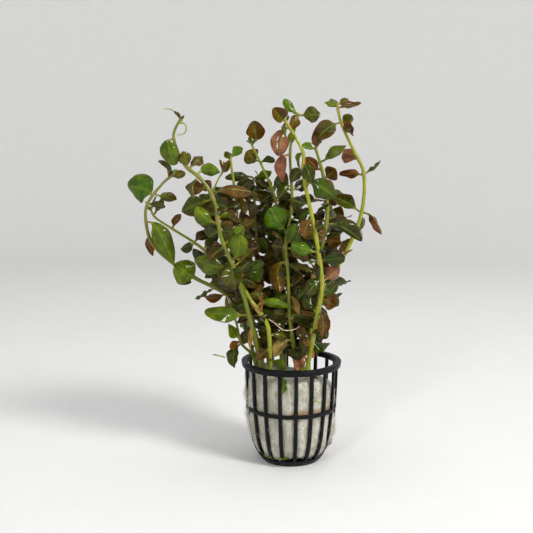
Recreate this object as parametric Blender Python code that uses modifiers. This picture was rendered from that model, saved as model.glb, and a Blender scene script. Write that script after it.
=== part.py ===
"""Ludwigia repens in a net pot packed with rock wool.

Metres, +Z up. The front view looks along +Y with +X to its right. The origin is the centre of the
pot's flat base. The stems' routes and the leaves' reaches are in whole or half millimetres: across
and up they follow points read by eye in a picture of the front, and in depth they are chosen.
"""

import math

import bmesh
import bpy
from mathutils import Vector
from mathutils.bvhtree import BVHTree

MM = 0.001
FLAT_ANGLE = math.radians(0.5)

# The net pot
POT_HEIGHT = 50.6 * MM
RIM_RADIUS = 25.0 * MM
RIM_HEIGHT = 2.8 * MM
WALL = 1.3 * MM
RIB_COUNT = 18
RIB_WIDTH = 1.8 * MM
FIRST_RIB_DEG = -85.5
RING_STEPS = 36
# Radius of the outer wall at heights above the base, both in millimetres
WALL_OUTLINE = [(1.0, 15.5), (9.0, 19.6), (26.4, 22.5), (48.6, 23.4)]
MID_RING_Z = 26.4 * MM
MID_RING_HEIGHT = 1.9 * MM
BASE_RADIUS = 14.6 * MM
BASE_THICKNESS = 1.6 * MM
BASE_BAND = 3.0 * MM
BASE_RING_INNER = 11.0 * MM
HUB_RADIUS = 4.4 * MM
SPOKE_COUNT = 9

# The rock wool
GAP = 0.3 * MM
WOOL_FLOOR = 2.6 * MM
WOOL_FLOOR_SHARE = 0.66
WOOL_CROWN_SHARE = 0.93
WOOL_TOP = 45.5 * MM
WOOL_DIP = 6.5 * MM
WOOL_BULGE = 0.8 * MM
# Share of the bulge through the slots at each height in millimetres
WOOL_LEVELS = [(4.0, 0.0), (15.0, 1.0), (27.3, 0.0), (37.0, 1.0)]

# Stems and leaves
STEM_SIDES = 6
STEM_TAPER = 0.45
LEAF_THICKNESS = 0.7 * MM
CLEARANCE = 0.45 * MM
PETIOLE_SHARE = 0.22
PETIOLE_HALF = 0.5 * MM
OUTLINE_LEAN = 1.1
OUTLINE_BLUNTNESS = 0.65
DOME = -0.22
SPREAD = 1.15
# Places of the rows across a blade, for leaves of their own, small and tiny ones, and points in a row
LARGE_ROWS = (0.0, 0.34, 0.70, 0.97)
SMALL_ROWS = (0.0, 0.40, 0.75, 0.97)
TINY_ROWS = (0.0, 0.58, 0.97)
DOMED_COLUMNS = 3
FLAT_COLUMNS = 2
DOMED_AREA = 95.0 * MM * MM
TINY_AREA = 66.0 * MM * MM
LEAF_NODES = 44

FRONT = Vector((0.0, -1.0, 0.0))
UP = Vector((0.0, 0.0, 1.0))

TINTS = {
    "bright": (0.075, 0.25, 0.010),
    "deep": (0.028, 0.100, 0.010),
    "olive": (0.110, 0.105, 0.012),
    "russet": (0.150, 0.045, 0.018),
    "pink": (0.390, 0.125, 0.100),
    "straw": (0.360, 0.200, 0.070),
}

# Each stem: radius in millimetres and the route of its centre from the wool to its tip
STEMS = [
    (1.20, [(-13, -5, 34), (-15, -6, 47), (-18, -9, 63), (-23, -14, 84), (-29, -18, 102), (-34, -18, 115),
            (-37, -16, 131), (-43, -15, 141), (-51, -13, 148), (-56, -12, 160), (-54, -12, 167), (-52, -12, 169)]),
    (1.15, [(-9, -8, 34), (-10.5, -9.5, 48), (-11, -12, 64), (-13, -12, 73), (-23, -10, 88), (-27, -4, 110),
            (-27, -2, 128), (-30, -2, 151)]),
    (1.10, [(-14, 3, 34), (-18, 4, 49), (-24, 6, 67), (-32, 6, 82), (-47, 2, 91), (-59, -2, 100), (-68, -6, 110),
            (-70.5, -8, 122), (-69, -8, 130), (-62, -6, 139), (-57, -5, 143)]),
    (0.95, [(-12, 8, 34), (-16, 9, 49), (-23, 12, 71), (-31, 12, 89), (-44, 8, 105), (-59, 3, 116), (-67, 0, 122),
            (-69, -1, 127)]),
    (0.95, [(-4, 5, 34), (-5, 6, 53), (-4, 8, 84), (-5, 7, 112), (-8, 5, 130), (-12, 3, 141), (-20, 2, 158)]),
    (0.95, [(-9, 8, 34), (-12, 10, 50), (-16, 12, 68), (-17.5, 11, 95), (-18, 8, 120), (-19, 8, 141)]),
    (1.25, [(6, -6, 34), (8, -8, 50), (11, -12, 69), (14, -16, 90), (12, -16, 108), (9, -15, 124), (5, -12, 143),
            (5, -11, 153), (1, -10, 161), (-4, -10, 169)]),
    (1.05, [(2, -2, 34), (2, -2, 50), (-1, -5, 73), (-2, -5, 95), (-3, -3, 109), (0, 0, 130), (-1, 0, 153),
            (1, -2, 164), (3, -3, 172)]),
    (1.20, [(5, 3, 34), (5, 2, 50), (6, -1, 70), (10, -5, 91), (15, -5, 111), (17, -5, 126), (15, -4, 142),
            (11, -3, 156)]),
    (1.20, [(9, 5, 34), (9, 4, 50), (11, 0, 75), (19, 2, 90), (29, 5, 108), (35, 6, 125), (35.5, 6, 143),
            (30, 6, 155), (24, 6, 168), (22, 6, 177)]),
    (0.85, [(-16, -1, 34), (-18, -1, 48), (-20, -2, 54), (-25, -4, 60), (-27, -7, 70), (-29, -8, 76)]),
    (0.75, [(-12, 0, 34), (-14, 1, 48), (-17, 0, 62), (-28, -5, 95), (-36, -9, 120), (-38, -8, 134), (-33, -8, 145)]),
    (1.05, [(-3, 12, 34), (-3, 13, 50), (-4, 18, 75), (-8, 22, 100), (-14, 24, 122), (-16, 22, 140)]),
    (1.05, [(6, 12, 34), (7, 13, 50), (10, 17, 72), (15, 21, 95), (18, 22, 115), (20, 20, 132)]),
]

# Leaves by stem: height of the node; reach to the right, back and up; width; roll in degrees; tint.
# At no roll the blade's upper face looks to the front.
LEAVES = {
    1: [
        (160, 0, -5, -12, 9, 10, "bright"), (147, -2, -4, 7, 7, 20, "olive"), (146, 6, 3, 6, 6, -30, "olive"),
        (143, 11, 4, 2, 6, 15, "bright"), (137, -10, 3, 1, 6, 180, "russet"), (142, -5, -3, -8, 4, 60, "olive"),
        (132, -16, 4, -5, 10, 15, "deep"), (121, -11, -5, 7, 8, 10, "bright"), (133, 20, 5, 3, 7, 150, "olive"),
        (123, 7, -2, 2, 4, 40, "bright"), (103, 5, -5, 12, 10, 0, "bright"), (111, 10, -3, 7, 7, 0, "bright"),
        (100, 11, -1, 9, 5, 50, "olive"), (100, -18, -3, 3, 10, -10, "bright"), (100, 2, -7, -10, 10, 0, "deep"),
        (76, -21, -4, 0, 7, 15, "bright"), (69, -1, -4, -10, 4, 30, "straw"),
    ],
    2: [
        (150, -2, -1, 4, 3, 10, "bright"), (151, 6, -1, 5, 5, 15, "bright"), (132, 4, -3, -8, 6, 20, "olive"),
        (134, -9, 4, -2, 6, 10, "deep"), (118, 8, -4, -6, 5, 60, "russet"), (80, 15, -3, -2, 7, 10, "bright"),
        (77, 1, -4, 9, 3, 60, "straw"), (123, -8, 3, -5, 5, 170, "russet"), (96, 11, -3, 5, 6, 20, "deep"),
    ],
    3: [
        (133, -14, 4, 4, 13, 0, "bright"), (142.5, -5, -2, 8, 4, 60, "deep"), (142, 7, -2, 2, 5, 20, "olive"),
        (129, 8, -2, -1, 5, 20, "deep"), (134, 10, 4, -4, 6, 10, "olive"), (120, 13, -4, -21, 8, 0, "bright"),
        (113, 1, 4, -10, 4, 170, "russet"), (92, -9, -5, 7, 9, 10, "bright"), (83, -9, -4, -1, 5, 160, "russet"),
        (86, -10, 3, -6, 4, 60, "deep"), (97, 5, 2, -8, 6, 10, "deep"),
    ],
    4: [
        (123, 4, 1, 9, 4, 40, "bright"), (116, 5, -2, 8, 5, 170, "russet"),
        (108, -8, 3, -3, 6, 20, "deep"), (105, 7, 3, 7, 6, 10, "deep"), (89, -11, 3, -4, 6, 20, "olive"),
    ],
    5: [
        (157.5, 1, 0, 11, 9, 0, "russet"), (149, -7, 4, 5, 8, 0, "olive"), (148, 7, -3, 2, 5, 30, "deep"),
        (131, -7, 3, -5, 6, 150, "russet"), (129, 8, 4, 3, 5, 20, "olive"), (110, -7, -3, 6, 7, 20, "deep"),
        (94, -7, -5, 7, 7, 170, "olive"),
    ],
    6: [
        (141, -13, -4, 1, 5, 20, "deep"), (140, 9, -6, 3, 6, 10, "bright"), (127, -8, -3, -8, 6, 30, "deep"),
        (126, 8, 3, -6, 6, 160, "russet"), (110, 6, -4, -6, 7, 20, "deep"), (109, -7, 3, -4, 6, 160, "russet"),
        (85, -2, -5, 11, 8, 170, "olive"), (84, 8, 3, -7, 6, 20, "deep"),
    ],
    7: [
        (168.5, -5, -2, 6, 7, 0, "olive"), (167, -2, -3, -4, 3, 20, "deep"), (165, -5, -5, -13, 8, 180, "pink"),
        (163, 0, -4, -5, 3, 10, "bright"), (153, -3, 4, -7, 4, 60, "bright"), (147, 3, -5, -8, 6, 10, "deep"),
        (145, -6, 3, -6, 6, 10, "deep"), (138, 13, -5, -6, 10, 0, "deep"), (122, -4, -4, -8, 6, 170, "russet"),
        (107, -12, -5, 3, 7, 10, "bright"), (102, 12, -4, 2, 5, 30, "deep"), (93, 9, 4, 6, 7, 170, "pink"),
        (84, 8, -4, -3, 8, 160, "russet"), (77, 3, -4, -11, 8, 170, "russet"), (78, -7, 4, 6, 6, 20, "deep"),
    ],
    8: [
        (171.5, -7, -1, 7, 6, 20, "bright"), (171, 10, -3, 1, 7, 10, "deep"), (170, -4, -3, -6, 6, 170, "olive"),
        (152, -5, -5, -13, 6, 180, "pink"), (137, -6, -4, -6, 6, 10, "deep"), (116, -8, -6, 10, 9, 0, "bright"),
        (110, 5, -5, 8, 7, 0, "bright"), (100, -5, -4, -14, 8, 170, "olive"), (83, 5, -5, -8, 4, 30, "straw"),
        (62, -9, -5, -9, 7, 150, "straw"), (82, -7, 4, 6, 6, 20, "deep"),
    ],
    9: [
        (148, 12, -4, 8, 7, 20, "bright"), (155, -7, -2, 2, 4, 30, "bright"), (145, -7, 3, 6, 6, 170, "russet"),
        (141, 6, -2, 5, 7, 170, "russet"), (139, 5, 3, -4, 4, 170, "russet"), (122, 12, 3, -2, 2, 75, "russet"),
        (119, 18, -5, -7, 9, 10, "deep"), (111, 9, -3, -1, 6, 180, "russet"), (101, 17, -3, 5, 3, 70, "pink"),
        (95, -9, -4, 6, 4, 60, "olive"), (88, -7, -4, -5, 6, 20, "deep"), (66, 2, -5, -11, 6, 170, "olive"),
        (57, -3, -6, -10, 6, 160, "pink"), (155, 0, 2, 6, 4, 160, "russet"),
    ],
    10: [
        (176, -6, -1, 1, 3, 20, "bright"), (175, -3, 3, 5, 4, 10, "olive"), (176, 6, 1, 3, 4, 10, "olive"),
        (174, 11, -2, 2, 6, 150, "russet"), (167, 5, -3, 4, 6, 10, "olive"), (168, -12, -5, -10, 8, 10, "olive"),
        (163, 2, -8, 2, 8, 0, "russet"), (150, -6, 4, 5, 7, 180, "pink"), (143, 9, -2, 5, 4, 50, "deep"),
        (142, -12, 3, 1, 5, 150, "russet"), (124, 10, -2, -11, 5, 150, "russet"), (124, -13, 4, 8, 8, 20, "deep"),
        (110, -5, 5, -7, 6, 170, "russet"), (88, 11, -4, 2, 4, 50, "deep"), (86, -8, 4, 5, 6, 20, "deep"),
    ],
    11: [
        (63, -5, -2, 7, 6, 20, "bright"), (61, -4, -2, -3, 4, 170, "russet"), (71, -4, 2, 11, 6, 20, "olive"),
        (60, -4, -4, -12, 6, 20, "deep"),
    ],
    12: [
        (144, 3, -1, 6, 5, 160, "russet"), (135, 6, 3, -6, 6, 20, "deep"),
        (114, -6, 4, 3, 6, 20, "deep"), (103, 9, 4, -3, 6, 20, "olive"),
    ],
}

# Pairs of leaves on the two stems at the back, each pair a quarter turn from the one below
BACK_STEMS = (13, 14)
PAIR_HEIGHTS = (78, 96, 112, 127)
PAIR_REACH = (10, 4)
PAIR_WIDTH = 6
PAIR_TINTS = ("deep", "olive", "russet", "bright")

# Leaves behind the listed ones, on the stems of the dense middle, to alternate sides
INNER_STEMS = {2: 1, 5: -1, 6: 1, 7: 1, 8: -1, 9: 1, 10: -1}
INNER_FIRST = 82
INNER_STEP = 24
INNER_COUNT = 2
INNER_REACH = (7, 7, 4)
INNER_WIDTH = 6
INNER_TINTS = ("olive", "deep", "russet", "deep")

# Changes tried in turn until a leaf is clear of its neighbours: size, turn of the blade, depth
SIZES_TRIED = (1.0, 0.85, 0.7)
ROLLS_TRIED = (0, 25, -25)
DEPTHS_TRIED = (0, -2, 2, -4, 4, -6, 6, -8, 8)


def clear_scene():
    for old in list(bpy.data.objects):
        bpy.data.objects.remove(old, do_unlink=True)


def collection(name):
    made = bpy.data.collections.new(name)
    bpy.context.scene.collection.children.link(made)
    return made


def material(name, colour, roughness):
    made = bpy.data.materials.new(name)
    made.use_nodes = True
    shader = made.node_tree.nodes["Principled BSDF"]
    shader.inputs["Base Color"].default_value = (*colour, 1.0)
    shader.inputs["Roughness"].default_value = roughness
    shader.inputs["Metallic"].default_value = 0.0
    return made


def object_of(name, data, home):
    made = bpy.data.objects.new(name, data)
    home.objects.link(made)
    return made


def evaluated_mesh(source, name):
    """The object's evaluated mesh in world space: doubles merged, flat faces joined, all outward."""
    graph = bpy.context.evaluated_depsgraph_get()
    mesh = bpy.data.meshes.new_from_object(source.evaluated_get(graph))
    mesh.transform(source.matrix_world)
    mesh.name = name
    edit = bmesh.new()
    edit.from_mesh(mesh)
    bmesh.ops.remove_doubles(edit, verts=edit.verts, dist=1e-6)
    bmesh.ops.dissolve_limit(edit, angle_limit=FLAT_ANGLE, verts=edit.verts, edges=edit.edges)
    bmesh.ops.recalc_face_normals(edit, faces=edit.faces)
    edit.to_mesh(mesh)
    edit.free()
    return mesh


def replaced_by_mesh(source, home, finish=None):
    """The object made a plain mesh, under its own name."""
    name = source.name
    bpy.context.view_layer.update()
    mesh = evaluated_mesh(source, name)
    bpy.data.objects.remove(source, do_unlink=True)
    made = object_of(name, mesh, home)
    if finish:
        mesh.materials.clear()
        mesh.materials.append(finish)
    return made


def combined(target, others, operation, home, finish=None, solver="EXACT"):
    """The target with every other shape joined to it or cut from it; the others are used up."""
    for other in others:
        step = target.modifiers.new(other.name, "BOOLEAN")
        step.operation = operation
        step.solver = solver
        step.object = other
    made = replaced_by_mesh(target, home, finish)
    for other in others:
        bpy.data.objects.remove(other, do_unlink=True)
    return made


def helper(made):
    made.hide_render = True
    made.display_type = "WIRE"
    return made


def between(points, value):
    """The second number at a value of the first, along straight lines between the points."""
    low = points[0]
    for high in points[1:]:
        if value <= high[0]:
            share = (value - low[0]) / (high[0] - low[0])
            return low[1] + share * (high[1] - low[1])
        low = high
    return points[-1][1]


def wall_radius(z):
    """Outer radius of the pot's wall at a height."""
    return between(WALL_OUTLINE, z / MM) * MM


# The pot


def turned_ring(name, outline, home):
    """A closed outline of (radius, height) turned about the pot's axis."""
    mesh = bpy.data.meshes.new(name)
    count = len(outline)
    edges = [(i, (i + 1) % count) for i in range(count)]
    mesh.from_pydata([(r, 0.0, z) for r, z in outline], edges, [])
    made = object_of(name, mesh, home)
    turn = made.modifiers.new("turn", "SCREW")
    turn.steps = RING_STEPS
    turn.render_steps = RING_STEPS
    turn.use_merge_vertices = False
    return replaced_by_mesh(made, home)


def rib(name, angle, home):
    """One upright rib: the wall's section as a flat outline with the rib's width."""
    outer = [(wall_radius(z * MM), z * MM) for z, _ in WALL_OUTLINE]
    inner = [(r - WALL, z) for r, z in reversed(outer)]
    outline = bpy.data.curves.new(name, "CURVE")
    outline.dimensions = "2D"
    outline.fill_mode = "BOTH"
    outline.extrude = RIB_WIDTH / 2
    line = outline.splines.new("POLY")
    line.points.add(len(outer) + len(inner) - 1)
    for point, (r, z) in zip(line.points, outer + inner):
        point.co = (r, z, 0.0, 1.0)
    line.use_cyclic_u = True
    made = object_of(name, outline, home)
    made.rotation_euler = (math.pi / 2, 0.0, angle)
    return replaced_by_mesh(made, home)


def spoke(name, angle, home):
    """One flat bar of the base, from the hub to the ring."""
    inner = HUB_RADIUS - 0.8 * MM
    outer = BASE_RING_INNER + 0.8 * MM
    bpy.ops.mesh.primitive_cube_add(size=1.0)
    made = bpy.context.object
    made.name = name
    made.scale = (outer - inner, RIB_WIDTH, BASE_THICKNESS - 0.4 * MM)
    middle = (inner + outer) / 2
    made.location = (middle * math.cos(angle), middle * math.sin(angle), BASE_THICKNESS / 2)
    made.rotation_euler = (0.0, 0.0, angle)
    return replaced_by_mesh(made, home)


def hub(name, home):
    bpy.ops.mesh.primitive_cylinder_add(
        vertices=18, radius=HUB_RADIUS, depth=BASE_THICKNESS, location=(0, 0, BASE_THICKNESS / 2)
    )
    made = bpy.context.object
    made.name = name
    return replaced_by_mesh(made, home)


def net_pot(home, cutters, finish):
    proud = 0.15 * MM
    top = POT_HEIGHT
    under = POT_HEIGHT - RIM_HEIGHT
    inside = wall_radius(under) - WALL - proud
    rim = turned_ring(
        "net_pot",
        [(inside, top), (RIM_RADIUS, top), (RIM_RADIUS - 0.4 * MM, under), (inside, under)],
        cutters,
    )
    low = MID_RING_Z
    high = MID_RING_Z + MID_RING_HEIGHT
    middle = turned_ring(
        "middle_ring",
        [(wall_radius(high) + proud, high), (wall_radius(low) + proud, low),
         (wall_radius(low) - WALL - proud, low), (wall_radius(high) - WALL - proud, high)],
        cutters,
    )
    band_top = BASE_BAND
    band = turned_ring(
        "base_ring",
        [(wall_radius(band_top) + proud, band_top), (BASE_RADIUS, 0.0), (BASE_RING_INNER, 0.0),
         (BASE_RING_INNER, BASE_THICKNESS), (wall_radius(band_top) - WALL - proud, band_top)],
        cutters,
    )
    step = 2 * math.pi / RIB_COUNT
    first = math.radians(FIRST_RIB_DEG)
    ribs = [rib(f"rib_{i}", first + i * step, cutters) for i in range(RIB_COUNT)]
    turn = 2 * math.pi / SPOKE_COUNT
    spokes = [spoke(f"spoke_{i}", first + i * turn, cutters) for i in range(SPOKE_COUNT)]
    parts = [middle, band, hub("hub", cutters)] + ribs + spokes
    return combined(rim, parts, "UNION", home, finish)


# The rock wool


def wool_top(x, y):
    """Height of the wool's top, which sinks towards the right and the back."""
    lean = max(0.0, (x + 0.6 * y) / (18.0 * MM))
    return WOOL_TOP - WOOL_DIP * min(1.0, lean)


def wool_ring(z, bulge):
    """Points round the wool at a height: drawn in behind each rib, swelling between two."""
    count = 2 * RIB_COUNT
    points = []
    for i in range(count):
        angle = math.radians(FIRST_RIB_DEG) + i * math.pi / RIB_COUNT
        inner = wall_radius(z) - WALL - 2 * GAP
        radius = inner + (WOOL_BULGE * bulge + GAP) * (i % 2)
        x = radius * math.cos(angle)
        y = radius * math.sin(angle)
        points.append(Vector((x, y, min(z, wool_top(x, y) - 0.6 * MM))))
    return points


def rock_wool(home, cutters, finish):
    """One wad that fills the basket, with a socket for the foot of each stem."""
    levels = [(z * MM, bulge) for z, bulge in WOOL_LEVELS]
    rings = [wool_ring(z, bulge) for z, bulge in levels]
    low = [Vector((WOOL_FLOOR_SHARE * p.x, WOOL_FLOOR_SHARE * p.y, WOOL_FLOOR)) for p in rings[0]]
    crown = [
        Vector((WOOL_CROWN_SHARE * p.x, WOOL_CROWN_SHARE * p.y, wool_top(p.x, p.y))) for p in rings[-1]
    ]
    flatten_stacked(rings)
    rings = [low] + rings + [crown]
    count = len(low)
    edit = bmesh.new()
    grid = [[edit.verts.new(p) for p in ring] for ring in rings]
    for below, above in zip(grid, grid[1:]):
        for i in range(count):
            j = (i + 1) % count
            edit.faces.new((below[i], below[j], above[j], above[i]))
    edit.faces.new(list(reversed(grid[0])))
    centre = edit.verts.new((0.0, 0.0, wool_top(0.0, 0.0)))
    for i in range(count):
        edit.faces.new((grid[-1][i], grid[-1][(i + 1) % count], centre))
    bmesh.ops.recalc_face_normals(edit, faces=edit.faces)
    mesh = bpy.data.meshes.new("rock_wool")
    edit.to_mesh(mesh)
    edit.free()
    wad = object_of("rock_wool", mesh, cutters)
    sockets = [socket(f"socket_{i}", radius, route, cutters) for i, (radius, route) in enumerate(STEMS)]
    return combined(wad, sockets, "DIFFERENCE", home, finish)


def flatten_stacked(rings):
    """Keeps each ring above the one below it where the wool's top is low."""
    for below, above in zip(rings, rings[1:]):
        for low, high in zip(below, above):
            high.z = max(high.z, low.z + 0.5 * MM)


def socket(name, radius, route, home):
    """The round hole that a stem's foot stands in."""
    foot = Vector(route[0]) * MM
    way = Vector(route[1]) * MM - foot
    start = foot - way.normalized() * 2 * GAP
    end = foot + way * 1.3
    corner = (radius * MM + 1.2 * GAP) / math.cos(math.pi / STEM_SIDES)
    bpy.ops.mesh.primitive_cylinder_add(
        vertices=STEM_SIDES, radius=corner, depth=(end - start).length, location=(start + end) / 2
    )
    made = bpy.context.object
    made.name = name
    made.rotation_euler = way.to_track_quat("Z", "Y").to_euler()
    return helper(replaced_by_mesh(made, home))


# The stems


def stem_radius(base, share):
    """Radius at a share of the stem's length."""
    return base * MM * (1.0 - STEM_TAPER * share * share)


def route_points(route):
    return [Vector(point) * MM for point in route]


def shares_along(points):
    """The share of the whole length at each point."""
    lengths = [0.0]
    for low, high in zip(points, points[1:]):
        lengths.append(lengths[-1] + (high - low).length)
    return [length / lengths[-1] for length in lengths]


def stem(name, radius, route, home):
    curve = bpy.data.curves.new(name, "CURVE")
    curve.dimensions = "3D"
    curve.bevel_depth = 1.0
    curve.bevel_resolution = (STEM_SIDES - 4) // 2
    curve.use_fill_caps = True
    points = route_points(route)
    line = curve.splines.new("POLY")
    line.points.add(len(points) - 1)
    for point, place, share in zip(line.points, points, shares_along(points)):
        point.co = (*place, 1.0)
        point.radius = stem_radius(radius, share)
    return replaced_by_mesh(object_of(name, curve, home), home)


def stem_at(number, height):
    """Centre, direction and radius of a stem at a height."""
    radius, route = STEMS[number - 1]
    points = route_points(route)
    shares = shares_along(points)
    for i in range(1, len(points)):
        if height * MM <= points[i].z or i == len(points) - 1:
            low, high = points[i - 1], points[i]
            part = min(1.0, (height * MM - low.z) / (high.z - low.z))
            share = shares[i - 1] + part * (shares[i] - shares[i - 1])
            return low.lerp(high, part), (high - low).normalized(), stem_radius(radius, share)
    return None


def tube_tree(radius, route, sides=8):
    """A search tree of a stem, a little thicker than the stem itself."""
    points = route_points(route)
    shares = shares_along(points)
    places = []
    for i, centre in enumerate(points):
        way = (points[min(i + 1, len(points) - 1)] - points[max(i - 1, 0)]).normalized()
        across = way.orthogonal().normalized()
        if i and across.dot(last) < 0.5:
            across = (last - way * way.dot(last)).normalized()
        last = across
        beside = way.cross(across)
        wide = stem_radius(radius, shares[i]) * 1.12
        for k in range(sides):
            turn = 2 * math.pi * k / sides
            places.append(centre + wide * (math.cos(turn) * across + math.sin(turn) * beside))
    faces = []
    for i in range(len(points) - 1):
        for k in range(sides):
            j = (k + 1) % sides
            faces.append((i * sides + k, i * sides + j, (i + 1) * sides + j, (i + 1) * sides + k))
    return BVHTree.FromPolygons(places, faces)


# The leaves


class Leaf:
    """A leaf by its node on a stem, its reach to the tip, its width, its roll and its tint."""

    def __init__(self, stem_number, number, height, reach, width, roll, tint, hint):
        self.stem_number = stem_number
        self.number = number
        self.height = height
        self.reach = Vector(reach) * MM
        self.width = width * MM
        self.roll = roll
        self.tint = tint
        self.hint = hint
        self.apart = False

    def area(self):
        return self.reach.length * self.width

    def name(self):
        return f"leaf_{self.stem_number:02d}_{self.number:02d}"

    def changed(self, size, roll, depth):
        """The same leaf made smaller, turned or moved in depth."""
        reach = (self.reach + Vector((0.0, depth * MM, 0.0))) / MM
        made = Leaf(self.stem_number, self.number, self.height, reach * size, self.width * size / MM,
                    self.roll + roll, self.tint, self.hint)
        made.apart = self.apart
        return made


def half_width(share, width):
    """Half the leaf's width at a share of its length: a narrow stalk, then an obovate blade."""
    if share <= PETIOLE_SHARE:
        return PETIOLE_HALF
    blade = (share - PETIOLE_SHARE) / (1.0 - PETIOLE_SHARE)
    swell = max(0.0, math.sin(math.pi * blade**OUTLINE_LEAN)) ** OUTLINE_BLUNTNESS
    return max(PETIOLE_HALF, SPREAD * width / 2 * swell)


def leaf_sheet(leaf, rows, columns):
    """Points and normals of the leaf's middle surface, row by row from its foot to its tip."""
    centre, along, radius = stem_at(leaf.stem_number, leaf.height)
    across = leaf.reach - along * leaf.reach.dot(along)
    out = across.normalized() if across.length > 0.5 * MM else FRONT
    root = centre + out * (radius + CLEARANCE if leaf.apart else radius * 0.35)
    tip = centre + leaf.reach
    length = (tip - root).length
    knee = root + (0.30 * out + 0.10 * along) * length
    points = []
    normals = []
    for share in rows:
        place = (1 - share) ** 2 * root + 2 * share * (1 - share) * knee + share**2 * tip
        way = ((1 - share) * (knee - root) + share * (tip - knee)).normalized()
        level = leaf.hint - way * leaf.hint.dot(way)
        if level.length < 0.2:
            level = UP - way * UP.dot(way)
        level.normalize()
        turn = math.radians(leaf.roll)
        normal = math.cos(turn) * level + math.sin(turn) * way.cross(level)
        side = way.cross(normal)
        wide = half_width(share, leaf.width)
        for k in range(columns):
            v = 2 * k / (columns - 1) - 1
            points.append(place + side * wide * v + normal * DOME * wide * v * v)
            normals.append(normal)
    return points, normals


def sheet_faces(rows, columns):
    faces = []
    for i in range(rows - 1):
        for k in range(columns - 1):
            a = i * columns + k
            faces.append((a, a + 1, a + columns + 1, a + columns))
    return faces


def shell_tree(leaf, half):
    """A search tree of the leaf as a closed shell of a given half thickness."""
    rows = [i / 8 for i in range(9)]
    rows[-1] = 0.97
    columns = 5
    points, normals = leaf_sheet(leaf, rows, columns)
    count = len(points)
    places = [p + n * half for p, n in zip(points, normals)] + [p - n * half for p, n in zip(points, normals)]
    faces = sheet_faces(len(rows), columns)
    border = list(range(columns))
    border += [i * columns + columns - 1 for i in range(1, len(rows))]
    border += [(len(rows) - 1) * columns + k for k in range(columns - 2, -1, -1)]
    border += [i * columns for i in range(len(rows) - 2, 0, -1)]
    both = faces + [tuple(count + i for i in reversed(face)) for face in faces]
    for a, b in zip(border, border[1:] + border[:1]):
        both.append((a, b, count + b, count + a))
    return BVHTree.FromPolygons(places, both), points


def clear_of_pot(points):
    for p in points:
        radius = math.hypot(p.x, p.y)
        above = p.z > POT_HEIGHT + 1.2 * MM
        outside = radius > RIM_RADIUS + 1.2 * MM
        within = radius < 20.6 * MM and p.z > wool_top(p.x, p.y) + 1.2 * MM
        if not (above or outside or within):
            return False
    return True


def settled(leaf, stem_trees, leaf_trees):
    """The leaf as listed or with the least change that frees it, or None where there is no room."""
    for size in SIZES_TRIED:
        for roll in ROLLS_TRIED:
            for depth in DEPTHS_TRIED:
                tried = leaf.changed(size, roll, depth)
                tree, points = shell_tree(tried, LEAF_THICKNESS / 2 + CLEARANCE)
                if not clear_of_pot(points):
                    continue
                others = [t for i, t in enumerate(stem_trees) if leaf.apart or i != leaf.stem_number - 1]
                if any(tree.overlap(other) for other in others + leaf_trees):
                    continue
                return tried
    return None


def listed_leaves():
    leaves = []
    for number, rows in LEAVES.items():
        for i, (height, right, back, up, width, roll, tint) in enumerate(rows):
            leaves.append(Leaf(number, i + 1, height, (right, back, up), width, roll, tint, FRONT))
    for number in BACK_STEMS:
        for level, height in enumerate(PAIR_HEIGHTS):
            for side in range(2):
                angle = math.pi * (side + level / 2 + number / 4)
                out, up = PAIR_REACH
                reach = (out * math.cos(angle), out * math.sin(angle), up)
                tint = PAIR_TINTS[(level + number) % len(PAIR_TINTS)]
                place = 2 * level + side + 1
                leaves.append(Leaf(number, place, height, reach, PAIR_WIDTH, 0, tint, UP))
    for number, first_side in INNER_STEMS.items():
        for level in range(INNER_COUNT):
            right, back, up = INNER_REACH
            height = INNER_FIRST + INNER_STEP * level + number
            reach = (right * first_side * (-1) ** level, back, up)
            place = len(LEAVES[number]) + level + 1
            tint = INNER_TINTS[(level + number) % len(INNER_TINTS)]
            leaves.append(Leaf(number, place, height, reach, INNER_WIDTH, 30, tint, FRONT))
    for leaf in sorted(leaves, key=lambda one: (-one.area(), one.name()))[:LEAF_NODES]:
        leaf.apart = True
    return leaves


def placed_leaves():
    """Every leaf that has room, largest first."""
    stem_trees = [tube_tree(radius, route) for radius, route in STEMS]
    leaf_trees = []
    placed = []
    for leaf in sorted(listed_leaves(), key=lambda one: (-one.area(), one.name())):
        found = settled(leaf, stem_trees, leaf_trees)
        if found is None:
            print("no room for", leaf.name())
            continue
        placed.append(found)
        leaf_trees.append(shell_tree(found, LEAF_THICKNESS / 2)[0])
    return placed


def leaf_solid(leaf, home, finish=None):
    """An open blade bent along its midrib, given its thickness."""
    small = TINY_ROWS if leaf.area() < TINY_AREA else SMALL_ROWS
    rows = LARGE_ROWS if leaf.apart else small
    columns = DOMED_COLUMNS if leaf.area() > DOMED_AREA else FLAT_COLUMNS
    points, _ = leaf_sheet(leaf, rows, columns)
    mesh = bpy.data.meshes.new(leaf.name())
    mesh.from_pydata([tuple(p) for p in points], [], sheet_faces(len(rows), columns))
    blade = object_of(leaf.name(), mesh, home)
    thickness = blade.modifiers.new("thickness", "SOLIDIFY")
    thickness.thickness = LEAF_THICKNESS
    thickness.offset = 0.0
    return replaced_by_mesh(blade, home, finish)


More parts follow.
